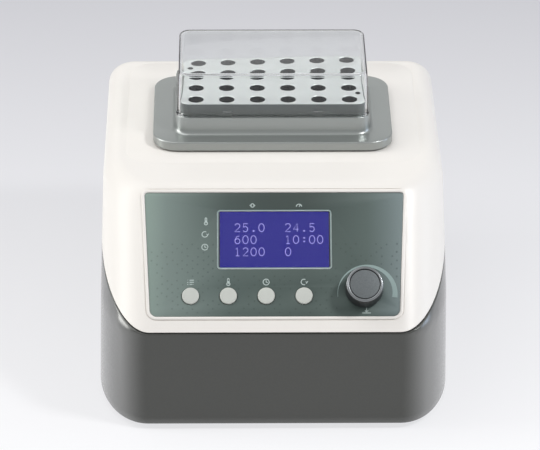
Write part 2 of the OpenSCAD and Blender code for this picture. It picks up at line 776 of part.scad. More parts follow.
module counterweight() {
    color(brass_tone) difference() {
        translate([0, drive_y, crank_disc_z + crank_disc_h + 0.01]) cylinder(r = weight_r, h = 3.6);
        translate([-weight_r - 1, drive_y - 5.6, 0]) cube([2 * weight_r + 2, weight_r + 10, 100]);
        translate([0, block_y, 0]) cylinder(r = shaft_d / 2 + 1.6, h = 100);
        for (x = [-1, 1]) translate([x * 7, drive_y - 8.6, 0]) cylinder(r = 1.5, h = 100);
    }
}

module counterweight_screws() {
    color(steel) for (x = [-1, 1]) translate([x * 7, drive_y - 8.6, crank_disc_z + crank_disc_h - 4.4])
        screw(1.5, 8.01, 2.4, 1.4);
}

module idler_crank(p) {
    disc_h = platform_h - drive_top - 1.2;
    color(steel) {
        translate([p[0], p[1], drive_top - idler_bearing_h - 0.4])
            cylinder(d = idler_d, h = idler_bearing_h + 1);
        translate([p[0], p[1], drive_top + 0.6]) cylinder(r = 5, h = disc_h);
        translate([p[0], p[1] + orbit_r, drive_top + disc_h])
            cylinder(d = idler_d, h = platform_h + platform_t - drive_top - disc_h - 0.5);
    }
}
module idler_crank_left() { idler_crank(idler_places[0]); }
module idler_crank_right() { idler_crank(idler_places[1]); }
module idler_crank_front() { idler_crank(idler_places[2]); }

// Moving platform and the heater stack
platform_hx = 77;
platform_hy = 56;
platform_top = platform_h + platform_t;
stack_post_x = 71;
stack_post_y = 30;
stack_places = [for (sx = [-1, 1], sy = [-1, 1]) [sx * stack_post_x, block_y + sy * stack_post_y]];
stack_screw_r = 1.6;
stack_boss_r = 3.4;
fin_h = 23;
sink_base_t = 6;
sink_base_z = platform_top + fin_h;
peltier_z = sink_base_z + sink_base_t;
peltier_t = 3.8;
spreader_z = peltier_z + peltier_t;
spreader_t = 6;
block_z = spreader_z + spreader_t;
frame_gap = 0.4;
frame_wall = 4.4;
frame_top = deck_h + 0.5;
post_top = collar_z - collar_wall - 4.3;

module shaker_platform() {
    color(silver) difference() {
        translate([0, block_y, platform_h]) rounded_slab(platform_hx, platform_hy, 8, platform_t);
        translate([0, block_y, platform_h - 1]) cylinder(r = main_bearing_r, h = platform_t + 2);
        for (p = idler_places) translate([p[0], p[1] + orbit_r, platform_h - 1])
            cylinder(r = idler_bearing_r, h = platform_t + 2);
        for (p = stack_places) translate([p[0], p[1], platform_h - 1])
            cylinder(r = stack_screw_r, h = platform_t + 2);
    }
}

module platform_bearings() {
    color(steel) {
        translate([0, block_y, platform_h])
            ring_solid(main_bearing_r, shaft_d / 2 + pin_clear, platform_t);
        for (p = idler_places) translate([p[0], p[1] + orbit_r, platform_h + 1])
            ring_solid(idler_bearing_r, idler_d / 2 + pin_clear, platform_t - 1);
    }
}

sink_hx = block_hx + frame_gap + frame_wall;
sink_hy = block_hy + frame_gap + frame_wall;

module heat_sink() {
    color(silver) {
        translate([-sink_hx, block_y - sink_hy, sink_base_z]) cube([2 * sink_hx, 2 * sink_hy, sink_base_t]);
        for (k = [-9:9]) translate([k * 7 - 1, block_y - sink_hy, platform_top])
            cube([2, 2 * sink_hy, fin_h + 0.5]);
    }
}

module peltier_modules() {
    color(white) for (sx = [-1, 1]) translate([sx * 24 - 20, block_y - 20, peltier_z])
        cube([40, 40, peltier_t]);
}

module heat_spreader() {
    color(silver) translate([0, block_y, spreader_z]) difference() {
        rounded_slab(block_hx, block_hy, block_r, spreader_t);
        for (p = block_screw_places) translate([p[0], p[1] - block_y, 1]) cylinder(r = 1.2, h = 20);
        translate([0, -block_hy + 9, 2.9]) rotate([90, 0, 0]) cylinder(r = 1.55, h = 20);
    }
}

module temperature_sensor() {
    color(steel) translate([0, block_y - block_hy - 0.2, spreader_z + 2.9]) rotate([-90, 0, 0])
        cylinder(r = 1.5, h = 9);
}

module insulation_frame() {
    color("#6E7072") translate([0, block_y, peltier_z]) difference() {
        rounded_slab(sink_hx, sink_hy, block_r + frame_wall, frame_top - peltier_z);
        translate([0, 0, -1]) rounded_slab(block_hx + frame_gap, block_hy + frame_gap,
            block_r + frame_gap, 100);
    }
}

module platform_posts() {
    color(steel) for (p = stack_places) translate([p[0], p[1], platform_top])
        ring_solid(3.2, stack_screw_r, post_top - platform_top);
}

rim_in_x = block_hx + block_gap;
rim_in_y = block_hy + block_gap;
rim_out_r = block_r + block_gap + rim_wall;
rim_foot = 0.7;
rim_fillet = 2.5;

module collar() {
    plate_low = collar_z - collar_edge;
    plate_under = collar_z - collar_wall;
    color(silver) translate([0, block_y, 0]) difference() {
        union() {
            difference() {
                translate([0, 0, plate_under]) rounded_slab(collar_w / 2 - 1, collar_d / 2 - 1,
                    collar_r - 1, collar_wall);
                translate([0, 0, plate_under - 1]) rounded_slab(rim_in_x, rim_in_y,
                    block_r + block_gap, 20);
            }
            rim_sweep(collar_w / 2, collar_d / 2, collar_r) polygon([
                [collar_r - collar_wall, plate_low], [collar_r, plate_low],
                [collar_r, collar_z - 0.8], [collar_r - 0.8, collar_z], [collar_r - collar_wall, collar_z]]);
            // Wall round the block, leaning in a little, with a hollow round foot
            rim_sweep(rim_in_x + rim_wall, rim_in_y + rim_wall, rim_out_r) polygon([
                [rim_out_r - rim_wall, plate_under], [rim_out_r + rim_foot, plate_under],
                [rim_out_r + rim_foot, collar_z], [rim_out_r + 0.05, rim_z - 0.5],
                [rim_out_r - 0.4, rim_z], [rim_out_r - rim_wall, rim_z]]);
            rim_sweep(rim_in_x + rim_wall, rim_in_y + rim_wall, rim_out_r) difference() {
                translate([rim_out_r, collar_z - 0.5]) square([rim_foot + rim_fillet, rim_fillet + 0.5]);
                translate([rim_out_r + rim_foot + rim_fillet, collar_z + rim_fillet])
                    circle(r = rim_fillet);
            }
            for (p = stack_places) translate([p[0], p[1] - block_y, post_top])
                cylinder(r = stack_boss_r, h = plate_under - post_top + 0.5);
        }
        for (p = stack_places) translate([p[0], p[1] - block_y, post_top - 1])
            cylinder(r = stack_screw_r, h = 5);
    }
}

module collar_screws() {
    color(steel) for (p = stack_places) translate([p[0], p[1], post_top + 3]) rotate([180, 0, 0])
        screw(stack_screw_r, post_top + 3 - platform_h, 2.8, 1.6);
}

// Tube block
block_screw_places = [[-56.6, block_y + well_pitch_y], [57, block_y - well_pitch_y]];
block_edge = 0.6;

module well_cutter() {
    translate([0, 0, -well_depth + well_d / 3]) cylinder(d = well_d, h = well_depth);
    translate([0, 0, -well_depth]) cylinder(d1 = well_d * 0.35, d2 = well_d, h = well_d / 3);
    translate([0, 0, -0.4]) cylinder(d1 = well_d, d2 = well_d + 1, h = 0.5);
}

module tube_block() {
    color("#C8CCCC") difference() {
        translate([0, block_y, 0]) {
            translate([0, 0, block_z]) rounded_slab(block_hx, block_hy, block_r,
                block_top_z - block_edge - block_z);
            translate([0, 0, block_top_z - block_edge - 1]) rounded_slab(block_hx - block_edge,
                block_hy - block_edge, block_r - block_edge, block_edge + 1);
            rim_sweep(block_hx, block_hy, block_r) polygon([
                [block_r - block_edge - 1, block_top_z - block_edge - 1],
                [block_r, block_top_z - block_edge - 1], [block_r, block_top_z - block_edge],
                [block_r - block_edge, block_top_z], [block_r - block_edge - 1, block_top_z]]);
        }
        for (i = [0:well_cols - 1], j = [0:well_rows - 1])
            translate([(i - (well_cols - 1) / 2) * well_pitch_x,
                block_y + (j - (well_rows - 1) / 2) * well_pitch_y, block_top_z]) well_cutter();
        for (p = block_screw_places) {
            translate([p[0], p[1], block_z + 3.2]) cylinder(r = 2, h = block_top_z - block_z);
            translate([p[0], p[1], block_z - 1]) cylinder(r = 1.2, h = 10);
        }
    }
}

module block_screws() {
    color(steel) for (p = block_screw_places) translate([p[0], p[1], spreader_z + 1.4])
        screw(1.2, block_z + 3.2 - spreader_z - 1.4, 1.85, 3.4);
}

// Clear lid that stands on the collar's rim
lid_z = rim_z + seam;
lid_top_z = lid_z + lid_h;
lid_r = block_r + block_gap + lid_wall;
lid_hx = rim_in_x + lid_wall;
lid_hy = rim_in_y + lid_wall;
lid_shrink = lid_h * tan(lid_lean);
lid_round = 2.4;
flange_out = 1;
catch_x = 30;

module clear_lid() {
    ro = lid_r;
    rt = lid_r - lid_shrink;
    arc = [for (a = [0:18:90]) [rt - lid_round + lid_round * cos(a),
        lid_top_z - lid_round + lid_round * sin(a)]];
    color("#D9E2E4", 0.4) translate([0, block_y, 0]) {
        rim_sweep(lid_hx, lid_hy, lid_r) polygon(concat(
            [[ro - lid_wall, lid_z], [ro + flange_out, lid_z], [ro + flange_out, lid_z + 1.5],
                [ro - 0.05, lid_z + 1.5]], arc,
            [[rt - lid_round - 0.5, lid_top_z], [rt - lid_round - 0.5, lid_top_z - lid_wall],
                [rt - lid_wall - 0.6, lid_top_z - lid_wall], [rt - lid_wall, lid_top_z - lid_wall - 0.6]]));
        translate([0, 0, lid_top_z - lid_wall]) rounded_slab(lid_hx - lid_shrink - lid_round,
            lid_hy - lid_shrink - lid_round, max(1, rt - lid_round), lid_wall);
        for (x = [-1, 1], y = [-1, 1]) translate([x * catch_x - 3, y * (lid_hy + 0.2) - 0.8, lid_z + 1])
            cube([6, 1.6, 3.2]);
    }
}

// Control panel pieces
module control_overlay() {
    color("#5F6B69") on_slope(0, panel_mid_s, -overlay_recess) difference() {
        linear_extrude(height = overlay_t) overlay_outline();
        translate([0, panel_mid_s - window_s, -1]) rounded_slab(window_w / 2 + 0.1, window_h / 2 + 0.1, 2.1, 5);
        for (k = [0:3]) translate([button_x + k * button_pitch, panel_mid_s - button_s, -1])
            cylinder(r = button_d / 2 + cap_clear, h = 5);
        translate([dial_x, panel_mid_s - dial_s, -1]) cylinder(r = encoder_hole_r, h = 5);
    }
}

module display_window() {
    color("#3A328C", 0.6) on_slope(0, window_s, -overlay_recess)
        rounded_slab(window_w / 2, window_h / 2, 2, overlay_t + 0.1);
}

module display_module() {
    color(steel) on_slope(0, window_s, -shell_wall - seam) {
        translate([-41, -25, -7]) cube([82, 50, 7]);
        color("#3A328C") translate([-window_w / 2 + 1.6, -window_h / 2 + 1.6, -0.5])
            cube([window_w - 3.2, window_h - 3.2, shell_wall - overlay_recess]);
    }
}

board_t = 1.6;

module control_board() {
    color(board_green) on_slope(0, panel_mid_s, board_h - board_t) linear_extrude(height = board_t)
        difference() {
            square([2 * standoff_x + 10, overlay_l - 6], center = true);
            for (x = [-1, 1], s = standoff_s) translate([x * standoff_x, panel_mid_s - s]) circle(r = 1.25);
        }
    color(black) on_slope(0, panel_mid_s, board_h - board_t - 2.4) {
        translate([-34, 4, 0]) cube([12, 12, 2.5]);
        translate([14, -6, 0]) cube([30, 8, 2.5]);
    }
}

module board_screws() {
    color(steel) for (x = [-1, 1], s = standoff_s) on_slope(x * standoff_x, s, board_h + 5)
        rotate([180, 0, 0]) screw(1.25, 5 + board_t, 2.4, 1.6);
}

cap_flange_h = -shell_wall - 0.4;
stem_low = -7;
switch_top = stem_low - button_travel - 0.2;

module tact_switches() {
    color(black) for (k = [0:3]) on_slope(button_x + k * button_pitch, button_s, board_h) {
        translate([-3, -3, 0]) cube([6, 6, 3.4]);
        cylinder(r = 1.7, h = switch_top - board_h);
    }
}

module button_cap(k) {
    r = button_d / 2;
    color("#CDD3D0") on_slope(button_x + k * button_pitch, button_s) {
        translate([0, 0, cap_flange_h - 0.5]) cylinder(r = r, h = 1 - cap_flange_h);
        translate([0, 0, 0.4]) cylinder(r1 = r, r2 = r - 0.6, h = 0.6);
        translate([0, 0, cap_flange_h - 1.2]) cylinder(r = r + 1, h = 1.2);
        translate([0, 0, stem_low]) cylinder(r = 1.7, h = 4);
    }
}
module button_1() { button_cap(0); }
module button_2() { button_cap(1); }
module button_3() { button_cap(2); }
module button_4() { button_cap(3); }

encoder_r = 6.5;
bush_r = encoder_hole_r - 0.3;
bush_top = 2.2;
shaft_r = 3;
encoder_cavity_r = 4;

module encoder_body() {
    color(steel) on_slope(dial_x, dial_s, 0) difference() {
        union() {
            translate([-encoder_r, -encoder_r, board_h]) cube([2 * encoder_r, 2 * encoder_r, 7.5]);
            translate([0, 0, board_h + 7]) cylinder(r = bush_r, h = bush_top - board_h - 7);
        }
        translate([0, 0, board_h + 1.5]) cylinder(r = encoder_cavity_r, h = 5.5);
        translate([0, 0, board_h + 4]) cylinder(r = shaft_r + pin_clear, h = 20);
    }
}

module encoder_nut() {
    color(steel) on_slope(dial_x, dial_s, -overlay_recess + overlay_t) difference() {
        union() {
            cylinder(r = 7.4, h = 0.6);
            translate([0, 0, 0.6]) cylinder(r = 6.6, h = 1.7, $fn = 6);
        }
        translate([0, 0, -1]) cylinder(r = bush_r, h = 5);
    }
}

shaft_low = board_h + 4.8;

module encoder_plunger() {
    color(brass_tone) on_slope(dial_x, dial_s, shaft_low - 0.9 - 0.05)
        cylinder(r = encoder_cavity_r - 0.4, h = 0.9);
}

module encoder_shaft() {
    color(steel) on_slope(dial_x, dial_s, shaft_low)
        cylinder(r = shaft_r, h = dial_low + dial_h - dial_top_wall - shaft_low);
}

dial_low = 1.5;
dial_taper = 0.35;
dial_round = 1.2;
dial_recess = 1.3;
dial_hollow_r = 8.4;
dial_hollow_h = 3.6;
dial_top_wall = 4;
cap_r = dial_d / 2 - 2.6;
cap_t = 1;
cap_clear_r = 0.02;

module dial_knob() {
    r = dial_d / 2;
    round_r = r - dial_taper - dial_round;
    color("#4A4C50") on_slope(dial_x, dial_s, dial_low) difference() {
        rotate_extrude($fn = 96) polygon(concat([[0, 0], [r, 0], [r, 1.2]],
            [for (a = [0:15:90]) [round_r + dial_round * cos(a), dial_h - dial_round + dial_round * sin(a)]],
            [[cap_r + cap_clear_r, dial_h], [cap_r + cap_clear_r, dial_h - dial_recess],
                [0, dial_h - dial_recess]]));
        translate([0, 0, -1]) cylinder(r = dial_hollow_r, h = dial_hollow_h + 1);
        translate([0, 0, -1]) cylinder(r = shaft_r, h = dial_h - dial_top_wall + 1);
    }
}

module dial_cap() {
    color("#5B5D5F") on_slope(dial_x, dial_s, dial_low + dial_h - dial_recess)
        cylinder(r = cap_r, h = cap_t);
}

lower_housing();
upper_housing();
base_plate();
rubber_feet();
foot_screws();
housing_screws();
rear_panel();
rear_panel_screws();
fan_frame();
fan_rotor();
fan_screws();
power_inlet();
rocker_frame();
power_rocker();
power_supply();
main_board();
board_standoffs();
drive_posts();
drive_plate();
drive_screws();
motor();
main_bearing();
idler_bearings();
crank_shaft();
counterweight();
counterweight_screws();
idler_crank_left();
idler_crank_right();
idler_crank_front();
shaker_platform();
platform_bearings();
heat_sink();
peltier_modules();
heat_spreader();
temperature_sensor();
insulation_frame();
platform_posts();
collar();
collar_screws();
tube_block();
block_screws();
clear_lid();
control_overlay();
display_window();
display_module();
control_board();
board_screws();
tact_switches();
encoder_body();
encoder_nut();
encoder_plunger();
encoder_shaft();
dial_knob();
dial_cap();
button_1();
button_2();
button_3();
button_4();
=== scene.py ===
"""Thermal mixer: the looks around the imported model.

Each class builds one sub-assembly in millimetres, in the frame of the CAD model, and
dresses it. Lengths become metres when a mesh is stored.
"""

import json
import logging
import math
import random
from abc import ABC, abstractmethod
from dataclasses import dataclass, field, replace
from enum import Enum, auto
from functools import partial
from typing import Any, Callable, Sequence

import bmesh
import bpy
from mathutils import Matrix, Quaternion, Vector


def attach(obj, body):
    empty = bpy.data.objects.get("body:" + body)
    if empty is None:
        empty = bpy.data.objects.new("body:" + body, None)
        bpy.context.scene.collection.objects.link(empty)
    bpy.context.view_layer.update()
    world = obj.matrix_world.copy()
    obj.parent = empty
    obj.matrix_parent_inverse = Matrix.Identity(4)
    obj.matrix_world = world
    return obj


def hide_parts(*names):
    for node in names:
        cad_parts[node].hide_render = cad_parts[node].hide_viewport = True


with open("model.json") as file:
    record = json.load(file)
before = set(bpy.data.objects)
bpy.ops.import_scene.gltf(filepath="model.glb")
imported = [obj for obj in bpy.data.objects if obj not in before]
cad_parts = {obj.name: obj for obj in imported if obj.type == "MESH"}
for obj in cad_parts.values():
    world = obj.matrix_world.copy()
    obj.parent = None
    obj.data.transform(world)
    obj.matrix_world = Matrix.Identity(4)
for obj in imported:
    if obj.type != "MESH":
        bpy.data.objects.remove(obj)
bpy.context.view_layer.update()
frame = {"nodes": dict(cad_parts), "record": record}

LOG = logging.getLogger("thermal_mixer")
MM = 0.001
# Gap between two pieces that meet, and the distance below which two corners are one, in millimetres
SEAM = 0.05
MERGE = 1e-4
# Edges of the housings that turn more than this, in degrees, stay sharp
SHELL_SHARP = 40.0

Point2 = tuple[float, float]
Point3 = tuple[float, float, float]
Node = bpy.types.Node
Socket = bpy.types.NodeSocket
Piece = bpy.types.Object
Shape = bmesh.types.BMesh
NodeAdder = Callable[..., Node]

# The pearl clear coat: its index is high, and its weight grows between these two shares of a glancing view
PEARL_IOR = 2.4
PEARL_FROM, PEARL_TO, PEARL_LEAST = 0.14, 0.5, 0.1
# The slow waves in clear moulded plastic
WAVE_MM, WAVE_DEEP_MM, WAVE_STRENGTH = 25, 0.05, 0.3


# Colour and nodes


def linear(hex_colour: str) -> tuple[float, float, float, float]:
    """Turns an sRGB hex colour into linear RGBA.

    Args:
        hex_colour: Colour such as "#F4F2EE".

    Returns:
        Linear red, green and blue, and an alpha of 1.
    """
    parts = [int(hex_colour[i : i + 2], 16) / 255 for i in (1, 3, 5)]
    red, green, blue = [p / 12.92 if p <= 0.04045 else ((p + 0.055) / 1.055) ** 2.4 for p in parts]
    return (red, green, blue, 1.0)


def add_node(
    tree: bpy.types.NodeTree, kind: str, inputs: dict[Any, Any] | None = None, **settings: Any
) -> Node:
    """Adds a node, sets its properties and fills or links its inputs.

    Args:
        tree: Shader or geometry node tree.
        kind: Blender's node type name.
        inputs: Input name or index, with a value, a socket, or a node for its first output.
        **settings: Properties of the node.

    Returns:
        The new node.
    """
    node = tree.nodes.new(kind)
    for name, value in settings.items():
        setattr(node, name, value)
    for name, value in (inputs or {}).items():
        if isinstance(value, Node):
            value = value.outputs[0]
        if isinstance(value, Socket):
            tree.links.new(value, node.inputs[name])
        else:
            node.inputs[name].default_value = value
    return node


def new_material(name: str) -> tuple[bpy.types.Material, NodeAdder]:
    """Starts an empty material.

    Args:
        name: The material's name.

    Returns:
        The material, and add_node for its tree.
    """
    material = bpy.data.materials.new(name)
    material.use_nodes = True
    material.node_tree.nodes.clear()
    return material, partial(add_node, material.node_tree)


class Pattern(Enum):
    """How a finish varies over its surface."""

    GRAIN = auto()
    FLAKE = auto()
    BRUSHED = auto()
    SPECKLE = auto()


@dataclass(frozen=True)
class Surface(ABC):
    """A procedural material that is built once, when the first piece needs it."""

    name: str
    colour: str

    def build(self) -> bpy.types.Material:
        """Builds the material, or returns the one already built."""
        found = bpy.data.materials.get(self.name)
        if found:
            return found
        material, node = new_material(self.name)
        place = node("ShaderNodeTexCoord").outputs["Object"]
        node("ShaderNodeOutputMaterial", {"Surface": self._shader(node, place)})
        return material

    @abstractmethod
    def _shader(self, node: NodeAdder, place: Socket) -> Node:
        """Adds the shader.

        Args:
            node: add_node for the material's tree.
            place: Object coordinates.

        Returns:
            The node that the surface reads.
        """


@dataclass(frozen=True)
class Finish(Surface):
    """One opaque finish, built on the Principled shader.

    Sizes are in millimetres. colour_swing is how far the pattern moves the colour, and
    bump_mm is the height of the relief that the light sees. A coat with glance is a pearl
    clear coat, whose gloss grows towards a glancing view.
    """

    metallic: float = 0.0
    roughness: float = 0.5
    ior: float = 1.5
    coat: float = 0.0
    coat_roughness: float = 0.1
    glance: bool = False
    pattern: Pattern = Pattern.GRAIN
    pattern_mm: float = 1.5
    colour_swing: float = 0.03
    rough_swing: float = 0.06
    bump_mm: float = 0.01
    cloud_mm: float = 60.0
    cloud_swing: float = 0.02
    stretch: Point3 = (1.0, 1.0, 1.0)
    emission: float = 0.0
    glow: str = ""

    def _shader(self, node: NodeAdder, place: Socket) -> Node:
        """Adds the fine pattern, a slow cloud and the shader that they move."""
        fine = self._fine(node, place)
        cloud = node("ShaderNodeTexNoise", {"Vector": place, "Scale": 1 / (self.cloud_mm * MM), "Detail": 3.0})
        least = 1 - self.colour_swing - self.cloud_swing
        swing = node("ShaderNodeMath", {0: fine, 1: 2 * self.colour_swing, 2: least}, operation="MULTIPLY_ADD")
        level = node("ShaderNodeMath", {0: cloud, 1: 2 * self.cloud_swing, 2: swing}, operation="MULTIPLY_ADD")
        colour = node(
            "ShaderNodeMix",
            {0: 1.0, 6: self._colour(node, place), 7: level},
            data_type="RGBA",
            blend_type="MULTIPLY",
            clamp_result=False,
        )
        smoothest = self.roughness - self.rough_swing
        inputs = {
            "Base Color": colour.outputs[2],
            "Metallic": self.metallic,
            "Roughness": node(
                "ShaderNodeMath", {0: fine, 1: 2 * self.rough_swing, 2: smoothest}, operation="MULTIPLY_ADD"
            ),
            "Normal": node("ShaderNodeBump", {"Height": fine, "Strength": 1.0, "Distance": self.bump_mm * MM}),
            "Coat Weight": self.coat,
            "Coat Roughness": self.coat_roughness,
        }
        if self.glance:
            facing = node("ShaderNodeLayerWeight", {"Blend": 0.5}).outputs["Facing"]
            inputs["Coat Weight"] = node(
                "ShaderNodeMapRange", {"Value": facing, 1: PEARL_FROM, 2: PEARL_TO, 3: PEARL_LEAST, 4: self.coat}
            )
            inputs["Coat IOR"] = PEARL_IOR
        if self.metallic < 1:
            inputs["IOR"] = self.ior
        if self.emission:
            inputs["Emission Color"] = linear(self.glow)
            inputs["Emission Strength"] = self.emission
        return node("ShaderNodeBsdfPrincipled", inputs)

    def _colour(self, node: NodeAdder, place: Socket) -> Any:
        """The colour before the pattern moves it."""
        return linear(self.colour)

    def _fine(self, node: NodeAdder, place: Socket) -> Socket:
        """Adds the fine pattern.

        Args:
            node: add_node for the material's tree.
            place: Object coordinates.

        Returns:
            The pattern's output, from 0 to 1.
        """
        scale = 1 / (self.pattern_mm * MM)
        if self.pattern is Pattern.FLAKE:
            return node("ShaderNodeTexVoronoi", {"Vector": place, "Scale": scale}).outputs["Color"]
        if self.pattern is Pattern.BRUSHED:
            place = node("ShaderNodeMapping", {"Vector": place, "Scale": self.stretch})
        detail = 6.0 if self.pattern is Pattern.SPECKLE else 2.0
        grain = {"Vector": place, "Scale": scale, "Detail": detail, "Roughness": 0.6}
        return node("ShaderNodeTexNoise", grain).outputs["Fac"]


@dataclass(frozen=True)
class ReflectionBandedFinish(Finish):
    """A print whose colour runs in bands across X and darkens towards its upper middle; the bands and the darker
    middle are painted reflection on the film.
    """

    bands: tuple[tuple[float, str], ...] = ()
    dark_from: float = 100.0
    dark_to: float = 138.0
    dark_half: float = 78.0
    dark_share: float = 0.4
    tone: float = 1.0

    def _colour(self, node: NodeAdder, place: Socket) -> Any:
        """Adds the bands and the darker upper middle, which are painted reflection."""
        axes = node("ShaderNodeSeparateXYZ", {0: place}).outputs
        low, high = self.bands[0][0], self.bands[-1][0]
        across = node("ShaderNodeMapRange", {"Value": axes["X"], "From Min": low * MM, "From Max": high * MM})
        ramp = node("ShaderNodeValToRGB", {"Fac": across})
        stops = ramp.color_ramp.elements
        while len(stops) < len(self.bands):
            stops.new(0.5)
        for stop, (x, colour) in zip(stops, self.bands):
            stop.position = (x - low) / (high - low)
            stop.color = linear(colour)
        off = node("ShaderNodeMath", {0: axes["X"]}, operation="ABSOLUTE")
        up, near = (
            node(
                "ShaderNodeMapRange",
                {"Value": value, "From Min": start * MM, "From Max": end * MM},
                interpolation_type="SMOOTHSTEP",
            )
            for value, start, end in ((axes["Z"], self.dark_from, self.dark_to), (off, self.dark_half, 0.0))
        )
        # Painted reflection: the film darkens towards its upper middle
        both = node("ShaderNodeMath", {0: up, 1: near}, operation="MULTIPLY")
        darker = {0: both, 1: -self.dark_share * self.tone, 2: self.tone}
        level = node("ShaderNodeMath", darker, operation="MULTIPLY_ADD")
        mixed = node("ShaderNodeMix", {0: 1.0, 6: ramp, 7: level}, data_type="RGBA", blend_type="MULTIPLY")
        return mixed.outputs[2]


@dataclass(frozen=True)
class ClearFinish(Surface):
    """Clear moulded plastic. Light passes its thin wall almost unhindered, so shadow rays do too."""

    roughness: float = 0.02
    ior: float = 1.49
    shadow: float = 0.85

    def _shader(self, node: NodeAdder, place: Socket) -> Node:
        """Adds the clear body and the free way for shadow rays."""
        wave = node("ShaderNodeTexNoise", {"Vector": place, "Scale": 1 / (WAVE_MM * MM), "Detail": 1.0})
        relief = {"Height": wave, "Strength": WAVE_STRENGTH, "Distance": WAVE_DEEP_MM * MM}
        tint = linear(self.colour)
        body = node(
            "ShaderNodeBsdfPrincipled",
            {
                "Base Color": tint,
                "Roughness": self.roughness,
                "IOR": self.ior,
                "Transmission Weight": 1.0,
                "Normal": node("ShaderNodeBump", relief),
            },
        )
        through = node("ShaderNodeBsdfTransparent", {"Color": tint})
        in_shadow = node("ShaderNodeLightPath").outputs["Is Shadow Ray"]
        share = node("ShaderNodeMath", {0: in_shadow, 1: self.shadow}, operation="MULTIPLY")
        return node("ShaderNodeMixShader", {0: share, 1: body, 2: through})


# Finishes


# The upper housing is a white ABS moulding with a fine spark-eroded surface: bright, with broad soft lights
WHITE_ABS = Finish("white_abs_moulded", "#EFEBE6", roughness=0.38, pattern_mm=1.4, bump_mm=0.006,
                   colour_swing=0.006, cloud_mm=80, cloud_swing=0.006)
# The lower housing is spray painted in a grey metallic under a pearl coat: dark in front, bright at a glance
METALLIC_PAINT = Finish("metallic_paint_sprayed", "#4A4B48", metallic=0.5, roughness=0.38, coat=1.0,
                        coat_roughness=0.2, glance=True, pattern=Pattern.FLAKE, pattern_mm=0.9,
                        colour_swing=0.05, bump_mm=0.004)
# The overlay is a printed polycarbonate film: flat, with painted reflection that makes it paler to the sides and
# darker up in the middle
OVERLAY_FILM = ReflectionBandedFinish(
    "polycarbonate_film_printed", "#5F6B69", metallic=0.2, roughness=0.42, pattern_mm=1.1, bump_mm=0.004,
    cloud_mm=45, cloud_swing=0.04, tone=0.93,
    # Painted reflection: these bands make the film paler at its sides and darker in its middle
    bands=((-84, "#93A59D"), (-70, "#7F8E89"), (-30, "#596763"), (20, "#4F5C58"), (60, "#5A6864"),
           (84, "#6E7C7D")),
)
# Screen printed inks: flat and nearly matt, and the dots are the film's colour in a darker tone, its painted
# reflection bands included
PRINT_LIGHT = Finish("ink_pale_printed", "#93A6A4", pattern_mm=0.8, bump_mm=0.002)
PRINT_WHITE = Finish("ink_white_printed", "#B9C6C3", pattern_mm=0.8, bump_mm=0.002)
PRINT_DOTS = replace(OVERLAY_FILM, name="ink_dark_printed", tone=0.75)
# The display is a back-lit liquid crystal: the light comes from inside it, behind a black printed mask
LIT_FIELD = Finish("display_field_lit", "#100E26", glow="#0D0A88", roughness=0.35, emission=0.85,
                   pattern_mm=0.6, bump_mm=0.001)
LIT_DIGIT = Finish("display_digit_lit", "#3A3760", glow="#A9A4E2", roughness=0.4, emission=0.9, pattern_mm=0.6,
                   bump_mm=0.001)
MASK_INK = Finish("ink_black_printed", "#2A2B33", roughness=0.45, pattern_mm=0.8, bump_mm=0.002)
# Key caps are filled silicone-coated ABS: pale, nearly matt
KEY_CAP = Finish("key_cap_moulded", "#C6C9C3", pattern_mm=0.9, bump_mm=0.004)
# The dial is painted ABS: dark satin sides, a painted highlight on its rim's rounded top edge and a face with a
# coarse metallic grain
DIAL_SIDE = Finish("dial_paint_satin", "#242427", metallic=0.3, roughness=0.36, pattern_mm=0.8, bump_mm=0.004)
DIAL_RIM_HIGHLIGHT = Finish("dial_edge_satin", "#85888A", metallic=0.8, roughness=0.3, pattern_mm=0.6, colour_swing=0.1)
DIAL_FACE = Finish("dial_face_grained", "#6C7173", metallic=0.55, roughness=0.42, pattern=Pattern.SPECKLE,
                   pattern_mm=0.8, colour_swing=0.34, bump_mm=0.07)
# The collar is silver painted: its top mirrors the light above, its walls stay grey
SILVER_PAINT = Finish("silver_paint_sprayed", "#A0A4A2", metallic=0.75, roughness=0.32, coat=0.25,
                      pattern_mm=0.9, colour_swing=0.02, bump_mm=0.002)
# The block is milled aluminium, clear anodised; its outer walls are painted a darker grey and its wells near
# black, both as painted shade
ANODISED = Finish("aluminium_anodised", "#CBCECD", metallic=0.45, roughness=0.34, pattern=Pattern.BRUSHED,
                  pattern_mm=1.2, stretch=(0.06, 1.0, 1.0), bump_mm=0.004)
BLOCK_SIDE_SHADE = Finish("aluminium_hard_anodised", "#5F6463", metallic=0.6, roughness=0.44, pattern_mm=1.0,
                    bump_mm=0.006)
# Painted shade: the wells and screw holes get a near-black finish
WELL_SHADE = Finish("well_bore_anodised", "#2B2F30", metallic=0.4, pattern=Pattern.BRUSHED, pattern_mm=0.8,
                   stretch=(1.0, 1.0, 0.1), bump_mm=0.008)
# Clear plastics, with a lower index than the real ones (1.58 and 1.49): they mirror as little as in the photo
CLEAR_LID = ClearFinish("polycarbonate_clear", "#F7F8F8", ior=1.38)
CLEAR_WINDOW = ClearFinish("acrylic_window", "#F4F4FA", roughness=0.08, ior=1.22)
# Metals: plated steel and brass are turned, so their lines run round; the aluminium is milled along X
ZINC_STEEL = Finish("steel_zinc_plated", "#B9BCBE", metallic=1.0, roughness=0.32, pattern=Pattern.BRUSHED,
                    pattern_mm=1.0, stretch=(1.0, 1.0, 0.1), colour_swing=0.04, bump_mm=0.005)
MILLED = Finish("aluminium_milled", "#C4C8C6", metallic=1.0, roughness=0.34, pattern=Pattern.BRUSHED,
                pattern_mm=1.0, stretch=(0.1, 1.0, 1.0), colour_swing=0.04, bump_mm=0.005)
BRASS = Finish("brass_turned", "#B79A5B", metallic=1.0, roughness=0.3, pattern=Pattern.BRUSHED, pattern_mm=0.8,
               stretch=(1.0, 1.0, 0.1), bump_mm=0.004)
